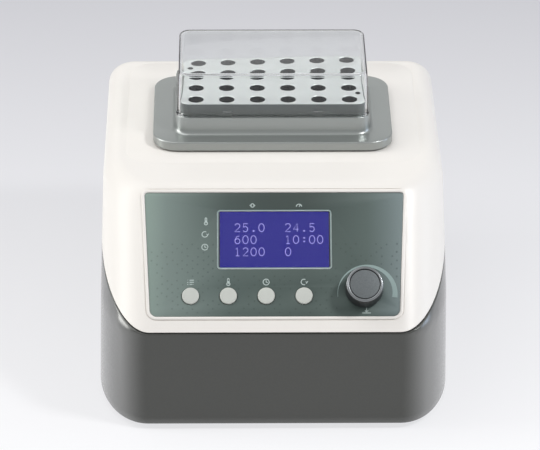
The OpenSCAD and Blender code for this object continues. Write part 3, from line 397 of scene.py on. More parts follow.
# Rear and underside: textured plastic, powder coat and rubber, all near black and dull
BLACK_ABS = Finish("black_plastic_textured", "#26282A", roughness=0.52, pattern_mm=1.0, bump_mm=0.02)
POWDER_COAT = Finish("black_powder_coat", "#2B2D2F", roughness=0.58, pattern_mm=1.2, bump_mm=0.03)
RUBBER = Finish("rubber_moulded", "#1F2021", roughness=0.8, pattern_mm=0.9, bump_mm=0.02)
# Inside: solder mask, bare ceramic and closed-cell foam
CIRCUIT = Finish("circuit_board_green", "#2F5D46", roughness=0.42, pattern_mm=1.2, colour_swing=0.08)
CERAMIC = Finish("ceramic_plain", "#EDEBE4", roughness=0.6, pattern_mm=0.8)
FOAM = Finish("foam_closed_cell", "#6E7072", roughness=0.9, pattern_mm=1.6, colour_swing=0.12, bump_mm=0.15)


# Meshes


def as_object(name: str, bm: Shape) -> Piece:
    """Turns a bmesh into a linked object of the same name; the bmesh is freed."""
    mesh = bpy.data.meshes.new(name)
    bm.to_mesh(mesh)
    bm.free()
    obj = bpy.data.objects.new(name, mesh)
    bpy.context.scene.collection.objects.link(obj)
    return obj


def settle(obj: Piece, place: Matrix | None = None, sharp_deg: float = 32.0) -> Piece:
    """Moves a mesh in millimetres to its place in the frame, in metres.

    Args:
        obj: The object, which stays at the origin.
        place: The mesh's place, in millimetres.
        sharp_deg: Edges that turn more than this stay sharp.

    Returns:
        The object.
    """
    obj.data.transform(Matrix.Scale(MM, 4) @ (place or Matrix.Identity(4)))
    obj.data.shade_smooth()
    obj.data.set_sharp_from_angle(angle=math.radians(sharp_deg))
    return obj


def store(name: str, bm: Shape, sharp_deg: float = 32.0, place: Matrix | None = None) -> Piece:
    """Turns a bmesh in millimetres into a settled object, as settle says."""
    return settle(as_object(name, bm), place, sharp_deg)


def skin(
    rings: Sequence[Sequence[Point3]], around: bool = False, low_cap: bool = False, top_cap: bool = False
) -> Shape:
    """Runs a surface through rings of points that all have the same count.

    Args:
        rings: The rings, in order.
        around: Whether the last ring joins the first.
        low_cap: Whether the first ring is filled.
        top_cap: Whether the last ring is filled.

    Returns:
        The mesh, with its faces turned outwards.
    """
    bm = bmesh.new()
    rows = [[bm.verts.new(p) for p in ring] for ring in rings]
    pairs = list(zip(rows, rows[1:])) + ([(rows[-1], rows[0])] if around else [])
    for low, high in pairs:
        for i, vertex in enumerate(low):
            j = (i + 1) % len(low)
            bm.faces.new((vertex, low[j], high[j], high[i]))
    if low_cap:
        bm.faces.new(list(reversed(rows[0])))
    if top_cap:
        bm.faces.new(rows[-1])
    bmesh.ops.recalc_face_normals(bm, faces=bm.faces)
    return bm


def hollow(outer: Sequence[Sequence[Point3]], inner: Sequence[Sequence[Point3]]) -> Shape:
    """A closed wall between two skins that share their first ring.

    Args:
        outer: The outer skin's rings, filled at the last one.
        inner: The inner skin's rings, filled at the last one.

    Returns:
        The mesh, with its faces turned outwards.
    """
    bm, lining = skin(outer, top_cap=True), skin(inner, top_cap=True)
    mesh = bpy.data.meshes.new("lining")
    lining.to_mesh(mesh)
    lining.free()
    bm.from_mesh(mesh)
    bpy.data.meshes.remove(mesh)
    bmesh.ops.remove_doubles(bm, verts=bm.verts, dist=MERGE)
    bmesh.ops.recalc_face_normals(bm, faces=bm.faces)
    return bm


def arc(start_deg: float, end_deg: float, steps: int) -> list[Point2]:
    """Unit points from one angle to another, ends included."""
    turns = [math.radians(start_deg + (end_deg - start_deg) * k / steps) for k in range(steps + 1)]
    return [(math.cos(a), math.sin(a)) for a in turns]


def rounded_ring(
    hx: float, hy: float, r: float, z: float, centre: Point2 = (0.0, 0.0), steps: int = 12
) -> list[Point3]:
    """Points round a rounded rectangle at one height.

    Args:
        hx: Half width.
        hy: Half depth.
        r: Corner radius.
        z: Height.
        centre: Middle of the rectangle.
        steps: Steps in each corner.

    Returns:
        The ring, anticlockwise.
    """
    ring = []
    for sx, sy, start in ((1, 1, 0), (-1, 1, 90), (-1, -1, 180), (1, -1, 270)):
        for c, s in arc(start, start + 90, steps):
            ring.append((centre[0] + sx * (hx - r) + r * c, centre[1] + sy * (hy - r) + r * s, z))
    return ring


def lathe(profile: Sequence[Point2], steps: int = 96) -> Shape:
    """Turns a profile of (radius, height) about Z; ends on the axis close the shape.

    Args:
        profile: Points from one end to the other.
        steps: Steps round the axis.

    Returns:
        The turned mesh.
    """
    rings = [
        [(r * math.cos(2 * math.pi * k / steps), r * math.sin(2 * math.pi * k / steps), h) for k in range(steps)]
        for r, h in profile
        if r > 0
    ]
    return skin(rings, around=profile[0][0] > 0 and profile[-1][0] > 0,
                low_cap=profile[0][0] == 0, top_cap=profile[-1][0] == 0)


def flat_piece(name: str, outlines: Sequence[Sequence[Point2]], low: float, high: float,
               edge: float = 0.0, place: Matrix | None = None) -> Piece:
    """Makes a flat plate from closed outlines; an outline inside another is a hole.

    Args:
        name: The piece's name.
        outlines: Closed outlines in the plate's own plane.
        low: Height of the underside.
        high: Height of the top.
        edge: Width of the rounded edge.
        place: Where the plate goes.

    Returns:
        The plate as a plain mesh object.
    """
    curve = bpy.data.curves.new(name + "_outline", "CURVE")
    curve.dimensions = "2D"
    curve.fill_mode = "BOTH"
    curve.extrude = (high - low) / 2 - edge
    curve.bevel_depth = edge
    curve.bevel_resolution = 2
    curve.offset = -edge
    for outline in outlines:
        spline = curve.splines.new("POLY")
        spline.points.add(len(outline) - 1)
        spline.use_cyclic_u = True
        for point, (x, y) in zip(spline.points, outline):
            point.co = (x, y, 0, 1)
    drawn = bpy.data.objects.new(name + "_drawn", curve)
    bpy.context.scene.collection.objects.link(drawn)
    mesh = bpy.data.meshes.new_from_object(drawn.evaluated_get(bpy.context.evaluated_depsgraph_get()))
    bpy.data.objects.remove(drawn)
    bpy.data.curves.remove(curve)
    bm = bmesh.new()
    bm.from_mesh(mesh)
    bpy.data.meshes.remove(mesh)
    bmesh.ops.remove_doubles(bm, verts=bm.verts, dist=MERGE)
    bmesh.ops.translate(bm, verts=bm.verts, vec=(0, 0, (low + high) / 2))
    bmesh.ops.recalc_face_normals(bm, faces=bm.faces)
    return store(name, bm, place=place)


def cut(
    obj: Piece, cutters: Sequence[Piece], sharp_deg: float = 32.0, operation: str = "DIFFERENCE"
) -> None:
    """Takes the cutters out of an object, or adds them to it, and removes them.

    Args:
        obj: The object to cut.
        cutters: Closed meshes in the same frame.
        sharp_deg: Edges that turn more than this stay sharp.
        operation: DIFFERENCE or UNION.
    """
    for cutter in cutters:
        modifier = obj.modifiers.new(cutter.name, "BOOLEAN")
        modifier.object = cutter
        modifier.operation = operation
        modifier.solver = "EXACT"
    apply_modifiers(obj)
    obj.data.set_sharp_from_angle(angle=math.radians(sharp_deg))
    for cutter in cutters:
        bpy.data.objects.remove(cutter)


def apply_modifiers(obj: Piece) -> None:
    """Replaces an object's mesh with its evaluated one and removes the modifiers."""
    bpy.context.view_layer.update()
    graph = bpy.context.evaluated_depsgraph_get()
    mesh = bpy.data.meshes.new_from_object(obj.evaluated_get(graph))
    old = obj.data
    obj.modifiers.clear()
    obj.data = mesh
    mesh.name = obj.name
    bpy.data.meshes.remove(old)


def paint_faces(obj: Piece, finish: Finish, chosen: Callable[[Vector, Vector], bool]) -> None:
    """Gives some faces another finish.

    Args:
        obj: The dressed piece.
        finish: The other finish.
        chosen: Says yes for a face by its middle, in millimetres, and its normal.
    """
    obj.data.materials.append(finish.build())
    index = len(obj.data.materials) - 1
    for face in obj.data.polygons:
        if chosen(face.center / MM, face.normal):
            face.material_index = index


def dress(obj: Piece, finish: Surface, body: str, replaces: Sequence[str] = ()) -> Piece:
    """Gives a piece its finish and its body.

    Args:
        obj: The piece.
        finish: Its finish.
        body: The body it moves with.
        replaces: CAD nodes that it stands for.

    Returns:
        The piece.
    """
    obj.data.materials.clear()
    obj.data.materials.append(finish.build())
    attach(obj, body)
    if replaces:
        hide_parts(*replaces)
    LOG.info("%s rides on %s", obj.name, body)
    return obj


# Geometry Nodes


class NodeSetup:
    """A geometry node tree with named inputs, run once on an object and made a plain mesh."""

    def __init__(self, name: str) -> None:
        """Starts the tree.

        Args:
            name: The tree's name.
        """
        self.tree = bpy.data.node_groups.new(name, "GeometryNodeTree")
        for way in ("INPUT", "OUTPUT"):
            self.tree.interface.new_socket("Geometry", in_out=way, socket_type="NodeSocketGeometry")
        self.node: NodeAdder = partial(add_node, self.tree)
        self.source = self.node("NodeGroupInput")
        self.names: dict[str, str] = {}

    def size(self, name: str, kind: str = "NodeSocketFloat") -> Socket:
        """Adds a named input.

        Args:
            name: The input's name.
            kind: Its socket type.

        Returns:
            The socket inside the tree.
        """
        item = self.tree.interface.new_socket(name, in_out="INPUT", socket_type=kind)
        self.names[name] = item.identifier
        return self.source.outputs[name]

    def finish_with(self, geometry: Node) -> None:
        """Ends the tree in Realize Instances and Set Material.

        Args:
            geometry: The node that makes the last geometry.
        """
        material = self.size("Material", "NodeSocketMaterial")
        real = self.node("GeometryNodeRealizeInstances", {"Geometry": geometry})
        dressed = self.node("GeometryNodeSetMaterial", {"Geometry": real, "Material": material})
        self.node("NodeGroupOutput", {0: dressed})

    def run(self, obj: Piece, values: dict[str, Any], finish: Surface) -> None:
        """Runs the tree on an object and keeps the plain result.

        Args:
            obj: The object to change.
            values: Input name to value.
            finish: The finish for what is made.
        """
        modifier = obj.modifiers.new(self.tree.name, "NODES")
        modifier.node_group = self.tree
        for name, value in values.items():
            modifier[self.names[name]] = value
        modifier[self.names["Material"]] = finish.build()
        apply_modifiers(obj)


def stroke_tree() -> NodeSetup:
    """A flat line of even width along every path of edges, for print and display strokes.

    Returns:
        The tree, with the inputs Width and Thickness.
    """
    setup = NodeSetup("StrokesAlongPaths")
    width, thick = setup.size("Width"), setup.size("Thickness")
    path = setup.node("GeometryNodeMeshToCurve", {"Mesh": setup.source})
    upright = setup.node("GeometryNodeSetCurveNormal", {"Curve": path}, mode="Z_UP")
    section = setup.node("GeometryNodeCurvePrimitiveQuadrilateral", {"Width": width, "Height": thick})
    line = {"Curve": upright, "Profile Curve": section, "Fill Caps": True}
    setup.finish_with(setup.node("GeometryNodeCurveToMesh", line))
    return setup


def copies_tree() -> NodeSetup:
    """A copy of a piece on every point of the object, a fixed share of them left out.

    Returns:
        The tree, with the inputs Piece, Share and Seed.
    """
    setup = NodeSetup("CopiesOnPoints")
    piece = setup.size("Piece", "NodeSocketObject")
    share, seed = setup.size("Share"), setup.size("Seed", "NodeSocketInt")
    shape = setup.node("GeometryNodeObjectInfo", {"Object": piece}).outputs["Geometry"]
    chance = {"Probability": share, "Seed": seed}
    kept = setup.node("FunctionNodeRandomValue", chance, data_type="BOOLEAN").outputs[3]
    spread = {"Points": setup.source, "Instance": shape, "Selection": kept}
    setup.finish_with(setup.node("GeometryNodeInstanceOnPoints", spread))
    return setup


def copies(name: str, shape: Shape, points: Sequence[Point3], finish: Finish, place: Matrix | None = None,
           share: float = 1.0, seed: int = 1) -> Piece:
    """Puts copies of one small shape on points, by geometry nodes.

    Args:
        name: The piece's name.
        shape: The shape, in millimetres; it is freed.
        points: Where the copies go, in millimetres.
        finish: Their finish.
        place: Where the whole goes.
        share: Share of the points that gets a copy.
        seed: Seed of the choice.

    Returns:
        One plain mesh with all the copies.
    """
    one = as_object(name + "_one", shape)
    spread = paths_mesh(name, [[p] for p in points])
    copies_tree().run(spread, {"Piece": one, "Share": share, "Seed": seed}, finish)
    bpy.data.objects.remove(one)
    return settle(spread, place)


def paths_mesh(name: str, paths: Sequence[Sequence[Point3]]) -> Piece:
    """Makes an object of bare edges, one chain for each path, not yet scaled to metres."""
    bm = bmesh.new()
    for path in paths:
        chain = [bm.verts.new(p) for p in path]
        for a, b in zip(chain, chain[1:]):
            bm.edges.new((a, b))
    return as_object(name, bm)


# Sub-assemblies


@dataclass
class HousingForm:
    """The outer form of the two housings, from the same rules as the CAD solids."""

    body_w: float = 230.0
    body_d: float = 270.0
    deck_h: float = 142.5
    front_h: float = 71.5
    side_lean: float = 1.2
    corner_w: float = 33.0
    corner_d: float = 66.0
    corner_top_d: float = 46.0
    rear_r: float = 18.0
    deck_edge_r: float = 12.0
    fold_r: float = 14.0
    edge_h: float = 4.0
    part_rise: float = 0.32
    part_run: float = 70.0
    part_ease: float = 60.0
    front_steps: int = 30
    side_steps: int = 18
    rear_steps: int = 12
    slope_deg: float = 45.0

    @property
    def lean(self) -> float:
        """Inward lean of the walls for each millimetre of height."""
        return math.tan(math.radians(self.side_lean))

    @property
    def front_y(self) -> float:
        """Where the slope meets the upright front."""
        return -self.body_d / 2 + (self.front_h - self.edge_h) * self.lean

    @property
    def fold_y(self) -> float:
        """Where the slope's plane meets the deck's plane."""
        return self.front_y + (self.deck_h - self.front_h) / math.tan(math.radians(self.slope_deg))

    @property
    def edge_cz(self) -> float:
        """Height of the centre of the deck's rounded edge."""
        return self.deck_h - self.deck_edge_r

    def half_w(self, z: float) -> float:
        """Half width of the walls at a height."""
        return self.body_w / 2 - (z - self.edge_h) * self.lean

    def rear_face(self, z: float) -> float:
        """Rear wall's place at a height."""
        return self.body_d / 2 - (z - self.edge_h) * self.lean

    def edge_inset(self, z: float, w: float) -> float:
        """How far the rounded deck edge draws a wall in, for a surface w inside the outer one."""
        if z <= self.edge_cz:
            return w
        square = (self.deck_edge_r - w) ** 2 - (z - self.edge_cz) ** 2
        return self.deck_edge_r - math.sqrt(max(0.0, square))

    def front_face(self, z: float, w: float) -> float:
        """Front face: upright, then the slope, then the round fold into the deck."""
        slope = math.radians(self.slope_deg)
        fold_cy = self.fold_y + self.fold_r * math.tan(slope / 2)
        fold_cz = self.deck_h - self.fold_r
        if z >= fold_cz + (self.fold_r - w) * math.cos(slope):
            return fold_cy - math.sqrt(max(0.0, (self.fold_r - w) ** 2 - (z - fold_cz) ** 2))
        upright = -self.body_d / 2 + (z - self.edge_h) * self.lean + w
        return max(upright, self.front_y + (z - self.front_h) / math.tan(slope) + w / math.sin(slope))

    @property
    def half_count(self) -> int:
        """Columns on the right half."""
        return self.front_steps + 1 + self.side_steps + self.rear_steps + 1

    def column(self, i: int, z: float, w: float) -> Point2:
        """One column's place on the right half: corner arc, side, rear arc.

        Args:
            i: Column number.
            z: Height.
            w: How far inside the outer surface.

        Returns:
            The place from above.
        """
        share = min(1.0, max(0.0, (z - self.front_h) / (self.deck_h - self.front_h)))
        depth = self.corner_d + (self.corner_top_d - self.corner_d) * share - w / 2
        half = self.half_w(z)
        inset = self.edge_inset(z, w)
        y_front = self.front_face(z, w)
        y_rear = self.rear_face(z) - self.rear_r
        if i <= self.front_steps:
            a = math.pi / 2 * i / self.front_steps
            return (half - self.corner_w + (self.corner_w - inset) * math.sin(a),
                    y_front + depth * (1 - math.cos(a)))
        if i <= self.front_steps + self.side_steps:
            t = (i - self.front_steps) / (self.side_steps + 1)
            return (half - inset, y_front + depth + (y_rear - y_front - depth) * t)
        a = math.pi / 2 * (i - self.front_steps - self.side_steps - 1) / self.rear_steps
        r = max(0.5, self.rear_r - inset)
        return (half - self.rear_r + r * math.cos(a), y_rear + r * math.sin(a))

    def part_z(self, y: float) -> float:
        """Height of the parting line at a place from front to back."""
        v = max(0.0, y - self.front_y)
        q = max(0.0, min(self.part_ease, v - self.part_run))
        return self.front_h + self.part_rise * (min(v, self.part_run) + q - q * q / (2 * self.part_ease))

    def part_heights(self, w: float) -> list[float]:
        """Height at which each column crosses the parting line."""
        heights = [self.front_h] * self.half_count
        for _ in range(8):
            heights = [self.part_z(self.column(i, z, w)[1]) for i, z in enumerate(heights)]
        return heights

    def ring(self, heights: Sequence[float], w: float) -> list[Point3]:
        """A full ring from the right half's heights, mirrored to the left."""
        right = [(*self.column(i, z, w), z) for i, z in enumerate(heights)]
        return right + [(-x, y, z) for x, y, z in reversed(right)]

    def level(self, z: float) -> list[float]:
        """The same height for every column."""
        return [z] * self.half_count


@dataclass
class SlopeFrame:
    """Coordinates on the control slope: x across, v up the slope from the fold, h outwards."""

    fold_y: float
    deck_h: float
    slope_deg: float

    def matrix(self, x: float = 0.0, s: float = 0.0, h: float = 0.0) -> Matrix:
        """Place of a piece whose middle is s down the slope from the fold."""
        fold = Matrix.Translation((0, self.fold_y, self.deck_h))
        tilt = Matrix.Rotation(math.radians(self.slope_deg), 4, "X")
        return fold @ tilt @ Matrix.Translation((x, -s, h))


def bow(
    x: float, y: float, r: float, start_deg: float, end_deg: float, steps: int, ry: float | None = None
) -> list[Point2]:
    """Points along part of a circle or an oval.

    Args:
        x: Middle across.
        y: Middle upwards.
        r: Radius, or the radius across.
        start_deg: First angle.
        end_deg: Last angle.
        steps: Steps between them.
        ry: Radius upwards, where it differs.

    Returns:
        The points, ends included.
    """
    up = r if ry is None else ry
    return [(x + r * c, y + up * s) for c, s in arc(start_deg, end_deg, steps)]


def overlay_outline(grow: float = 0.0) -> list[Point2]:
    """Outline of the control overlay about its own middle.

    Args:
        grow: How far outside the overlay's edge.

    Returns:
        The outline, anticlockwise.
    """
    top, low, half = 84.0, 80.4, 41.6
    r_top, r_low = 2.0, 4.5
    lean = math.degrees(math.atan2(top - low, 2 * half))
    corners = (
        (low - r_low, -half + r_low, r_low, -90, -lean),
        (top - r_top, half - r_top, r_top, -lean, 90),
        (-top + r_top, half - r_top, r_top, 90, 180 + lean),
        (-low + r_low, -half + r_low, r_low, 180 + lean, 270),
    )
    return [p for x, y, r, start, end in corners for p in bow(x, y, r + grow, start, end, 12)]


def circle(x: float, y: float, r: float, steps: int = 48) -> list[Point2]:
    """Points round a circle."""
    return bow(x, y, r, 0, 360 - 360 / steps, steps - 1)


def rounded_outline(hx: float, hy: float, r: float, x: float = 0.0, y: float = 0.0) -> list[Point2]:
    """Outline of a rounded rectangle about a point."""
    return [(p[0], p[1]) for p in rounded_ring(hx, hy, r, 0.0, (x, y), steps=8)]


def block_ring(half: Point3, grow: float, z: float, steps: int = 16) -> list[Point3]:
    """A rounded rectangle about the block's axis.

    Args:
        half: Half width, half depth and corner radius.
        grow: How far outside that outline.
        z: Height.
        steps: Steps in each corner.

    Returns:
        The ring.
    """
    return rounded_ring(half[0] + grow, half[1] + grow, half[2] + grow, z, (0, BLOCK_Y), steps)


# Places on the instrument: depths on the deck, and distances across and down the slope from its fold
FORM = HousingForm()
SLOPE = SlopeFrame(FORM.fold_y, FORM.deck_h, FORM.slope_deg)
DRIVE_Y = 32.0
BLOCK_Y = 33.5
PANEL_MID_S = 47.7
KEY_XS = (-54.3, -29.9, -5.5, 18.9)
KEY_S = 75.7
KEY_R = 5.5
KEY_HOLE_R = KEY_R + 0.3
DIAL_X = 57.6
DIAL_S = 71.7
DIAL_HOLE_R = 4.9
WINDOW_S = 37.6
# Depths of a cutter that goes through a wall from one side to the other
THROUGH = (-10.0, 10.0)


@dataclass
class Housing:
    """The white upper housing and the grey lower housing."""

    form: HousingForm = field(default_factory=lambda: FORM)
    wall: float = 3.0
    base_wall: float = 3.5
    lip: float = 0.45
    gap: float = 0.8
    opening: Point3 = (76.5, 43.5, 10.0)
    opening_z: Point2 = (132.5, 152.5)
    window: Point3 = (36.2, 19.1, 1.2)
    groove: Point2 = (2.1, 2.9)
    step_side: float = 2.6
    step_rear: float = 1.5
    step_half_d: float = 75.5
    step_r: float = 17.0
    step_rise: float = 0.7
    rear_opening: Point3 = (86.0, 28.0, 0.2)
    rear_z: float = 44.0

    def build(self) -> None:
        """Builds both housings, the raised step on the deck and the bezel round the panel."""
        self._upper()
        self._step()
        self._bezel()
        self._lower()

    def _upper(self) -> None:
        """The white shell with its openings."""
        form = self.form
        zp, zi = form.part_heights(0.0), form.part_heights(self.wall)
        rows = 26
        rings = [form.ring(zi, self.wall), form.ring(zp, self.lip)]
        start = [z + self.lip for z in zp]
        for k in range(rows):
            rings.append(form.ring([z + (form.edge_cz - z) * k / rows for z in start], 0.0))
        turns = 18
        for k in range(turns + 1):
            z = form.edge_cz + form.deck_edge_r * math.sin(math.pi / 2 * k / turns)
            rings.append(form.ring(form.level(z), 0.0))
        inner_rings = [form.ring(zi, self.wall)]
        for k in range(1, 5):
            inner_rings.append(form.ring([z + (form.edge_cz - z) * k / 5 for z in zi], self.wall))
        for k in range(7):
            z = form.edge_cz + (form.deck_edge_r - self.wall) * math.sin(math.pi / 2 * k / 6)
            inner_rings.append(form.ring(form.level(z), self.wall))
        shell = store("upper_shell", hollow(rings, inner_rings), SHELL_SHARP)
        hx, hy, r = self.opening
        middle = SLOPE.matrix(0, PANEL_MID_S)
        cutters = [
            flat_piece("cut_opening", [rounded_outline(hx, hy, r, 0, DRIVE_Y)], *self.opening_z),
            flat_piece("cut_recess", [overlay_outline(0.2)], -1.0, 3.0, place=middle),
            flat_piece("cut_groove", [overlay_outline(g) for g in self.groove[::-1]], -0.6, 3.0, place=middle),
        ]
        holes = [("window", rounded_outline(*self.window), 0, WINDOW_S),
                 ("dial", circle(0, 0, DIAL_HOLE_R), DIAL_X, DIAL_S)]
        holes += [(f"key_{k}", circle(0, 0, KEY_HOLE_R), x, KEY_S) for k, x in enumerate(KEY_XS)]
        for name, outline, x, s in holes:
            cutters.append(flat_piece(f"cut_{name}", [outline], *THROUGH, place=SLOPE.matrix(x, s)))
        cut(shell, cutters, SHELL_SHARP)
        dress(shell, WHITE_ABS, "chassis", ["upper_housing"])

    def _step(self) -> None:
        """The raised area round the back of the deck, rising from nothing at its front."""
        form = self.form
        hx, hy = form.half_w(form.deck_h) - form.deck_edge_r - self.step_side, self.step_half_d
        mid = form.rear_face(form.deck_h) - form.deck_edge_r - self.step_rear - hy

        def top(y: float, drop: float) -> float:
            """Height of the area's surface at a place, a little lower at its edge."""
            return form.deck_h + self.step_rise * (y - (mid - hy)) / (2 * hy) - drop

        def sloped(ring: list[Point3], drop: float) -> list[Point3]:
            """Lifts a ring onto the rising surface."""
            return [(x, y, top(y, drop)) for x, y, _ in ring]

        low = form.deck_h - 0.9
        rings = [rounded_ring(hx, hy, self.step_r, low, (0, mid))]
        for inset, drop in ((0, 0.25), (0.1, 0.06), (0.25, 0)):
            ring = rounded_ring(hx - inset, hy - inset, self.step_r - inset, 0, (0, mid))
            rings.append(sloped(ring, drop))
        hole = rounded_ring(*self.opening, low, (0, DRIVE_Y))
        rings += [sloped(hole, 0), hole]
        dress(store("deck_step", skin(rings, around=True)), WHITE_ABS, "chassis")

    def _bezel(self) -> None:
        """The thin raised edge round the control overlay."""
        section = [(2.2, -1.5), (2.2, 0.05), (2.05, 0.32), (1.75, 0.47), (1.4, 0.5), (0.9, 0.5), (0.55, 0.4),
                   (0.32, 0.2), (0.2, -0.1), (0.2, -1.5)]
        rings = [[(x, y, h) for x, y in overlay_outline(grow)] for grow, h in section]
        bezel = store("panel_bezel", skin(rings, around=True), place=SLOPE.matrix(0, PANEL_MID_S))
        dress(bezel, WHITE_ABS, "chassis")

    def _lower(self) -> None:
        """The grey lower housing with its rim and the rear opening."""
        form = self.form
        zp, zi = form.part_heights(0.0), form.part_heights(self.base_wall)
        low = form.edge_h
        top = [z - self.gap - 1.3 for z in zp]
        rows = 16
        rings = [form.ring(form.level(low), 1.0), form.ring(form.level(low + 0.3), 0.3)]
        for k in range(rows + 1):
            rings.append(form.ring([low + 1 + (z - low - 1) * k / rows for z in top], 0.0))
        lip = ((self.gap + 0.95, 0), (self.gap + 0.35, 0.2), (self.gap, 0.8), (self.gap, 1.4), (SEAM, 1.4))
        rings += [form.ring([z - drop for z in zp], inset) for drop, inset in lip]
        rings += [form.ring([z - SEAM for z in zi], self.base_wall), form.ring(form.level(low), self.base_wall)]
        shell = store("lower_shell", skin(rings, around=True), SHELL_SHARP)
        outline = rounded_outline(*self.rear_opening, 0, self.rear_z)
        rear = Matrix.Translation((0, form.body_d / 2 - 2, 0)) @ Matrix.Rotation(math.radians(90), 4, "X")
        opening = flat_piece("cut_rear", [outline], *THROUGH, place=rear)
        cut(shell, [opening], SHELL_SHARP)
        dress(shell, METALLIC_PAINT, "chassis", ["lower_housing"])


@dataclass
class Collar:
    """The silver collar: an edged plate above the deck and the wall round the block."""

    plate: Point3 = (79.6, 51.2, 17.0)
    plate_top: float = 149.8
    plate_low: float = 144.0
    wall: float = 2.5
    rim_in: Point3 = (61.8, 35.4, 6.6)
    rim_wall: float = 3.0
    rim_top: float = 161.6
    rim_spread: float = 0.7
    fillet: float = 2.5
    plate_round: float = 0.9
    rim_round: float = 0.55
    rim_in_round: float = 0.3

    def build(self) -> None:
        """Builds the collar as one closed skin."""
        plate, rim = partial(block_ring, self.plate), partial(block_ring, self.rim_in)
        under = self.plate_top - self.wall
        edge, out, lip = self.plate_round, self.rim_round, self.rim_in_round
        foot, fillet = self.rim_wall + self.rim_spread, self.fillet
        rings = [plate(0, self.plate_low)]
        rings += [plate(-edge * (1 - c), self.plate_top - edge + edge * s) for c, s in arc(0, 90, 5)]
        rings += [rim(foot + fillet * (1 - s), self.plate_top + fillet * (1 - c)) for c, s in arc(0, 90, 6)]
        rings += [rim(self.rim_wall + 0.1 - out * (1 - c), self.rim_top - out * (1 - s)) for c, s in arc(0, 90, 4)]
        rings += [rim(lip * (1 - s), self.rim_top - lip * (1 - c)) for c, s in arc(0, 90, 3)]
        rings += [rim(0, under), plate(-self.wall, under), plate(-self.wall, self.plate_low)]
        shell = store("collar_shell", skin(rings, around=True))
        dress(shell, SILVER_PAINT, "platform", ["collar"])


@dataclass
class TubeBlock:
    """The aluminium block with its wells."""

    half: Point3 = (61.2, 34.8, 6.0)
    low: float = 119.8
    top: float = 170.5
    pitch: Point2 = (20.4, 18.2)
    well_r: float = 5.1
    well_depth: float = 38.0
    screw_low: float = 123.0
    screw_r: float = 2.0
    edge_round: float = 0.7

    def build(self) -> None:
        """Builds the block and drills it."""
        edge = self.edge_round
        rings = [block_ring(self.half, 0, self.low)]
        rings += [block_ring(self.half, -edge * (1 - c), self.top - edge * (1 - s)) for c, s in arc(0, 90, 4)]
        block = store("block_body", skin(rings, low_cap=True, top_cap=True))
        at_wells = [(x, y, self.top) for x, y in self.well_places()]
        at_screws = [(x, BLOCK_Y + side * self.pitch[1], self.screw_low) for x, side in ((-56.6, 1), (57.0, -1))]
        hole = lathe([(0, 0), (self.screw_r, 0), (self.screw_r, 60), (0, 60)], 24)
        cutters = [
            copies("cut_wells", self._well(), at_wells, WELL_SHADE),
            copies("cut_screw_holes", hole, at_screws, WELL_SHADE),
        ]
        cut(block, cutters)
        dress(block, ANODISED, "platform", ["tube_block"])
        # Painted shade: the block's outer walls get a darker grey copy of its finish
        paint_faces(block, BLOCK_SIDE_SHADE, lambda at, normal: abs(normal.z) < 0.5 and self._outside(at))
        # Painted shade: the wells' walls get a near-black finish
        paint_faces(block, WELL_SHADE, lambda at, normal: at.z < self.top - 0.5 and not self._outside(at))

    def well_places(self) -> list[Point2]:
        """Middles of the wells from above."""
        return [
            ((column - 2.5) * self.pitch[0], BLOCK_Y + (row - 1.5) * self.pitch[1])
            for row in range(4)
            for column in range(6)
        ]

    def _outside(self, at: Vector) -> bool:
        """Whether a place lies on the block's outer walls."""
        hx, hy, r = self.half
        x, y = abs(at.x) - hx, abs(at.y - BLOCK_Y) - hy
        in_corner = min(x, y) > -r and math.hypot(x + r, y + r) > r - 0.8
        return max(x, y) > -1 or in_corner

    def _well(self) -> Shape:
        """The shape of one well, with the drill's point and a small edge cut at the mouth."""
        r, d = self.well_r, self.well_depth
        profile = [(0, -d), (r * 0.35, -d), (r, -d + r * 2 / 3), (r, -0.45), (r + 0.5, 0.05), (r + 0.5, 1), (0, 1)]
        return lathe(profile, 40)


@dataclass
class Lid:
    """The clear lid that stands on the collar's rim."""

    low: float = 161.65
    height: float = 30.7
    wall: float = 1.6
    inner: Point3 = (61.8, 35.4, 6.6)
    lean: float = 0.857
    round_r: float = 2.4
    inner_round_r: float = 0.9
    flange: tuple[Point2, ...] = ((0.9, 0), (1.0, 0.15), (1.0, 1.25), (0.85, 1.5), (0.2, 1.5), (0, 1.75))
    catch_at: Point2 = (30.0, 37.2)
    catch_half: Point3 = (3.0, 0.8, 0.3)
    catch_z: Point2 = (1.0, 4.2)

    def build(self) -> None:
        """Builds the lid as one closed skin with its flange and catches."""
        at = partial(block_ring, self.inner, steps=14)
        top = self.low + self.height
        w, q = self.wall, self.round_r
        rings = [at(0, self.low)]
        rings += [at(w + out, self.low + up) for out, up in self.flange]
        rings += [at(w - self.lean - q * (1 - c), top - q * (1 - s)) for c, s in arc(0, 90, 8)]
        p = self.inner_round_r
        inner_rings = [at(0, self.low)]
        inner_rings += [at(-self.lean - p * (1 - c), top - w - p * (1 - s)) for c, s in arc(0, 90, 4)]
        shell = store("lid_shell", hollow(rings, inner_rings))
        (cx, cy), catches = self.catch_at, []
        for x, y in ((-cx, -cy), (-cx, cy), (cx, -cy), (cx, cy)):
            ends = [
                rounded_ring(*self.catch_half, self.low + z, (x, BLOCK_Y + y), steps=3) for z in self.catch_z
            ]
            catches.append(store(f"catch_{len(catches)}", skin(ends, low_cap=True, top_cap=True)))
        cut(shell, catches, operation="UNION")
        dress(shell, CLEAR_LID, "lid", ["clear_lid"])


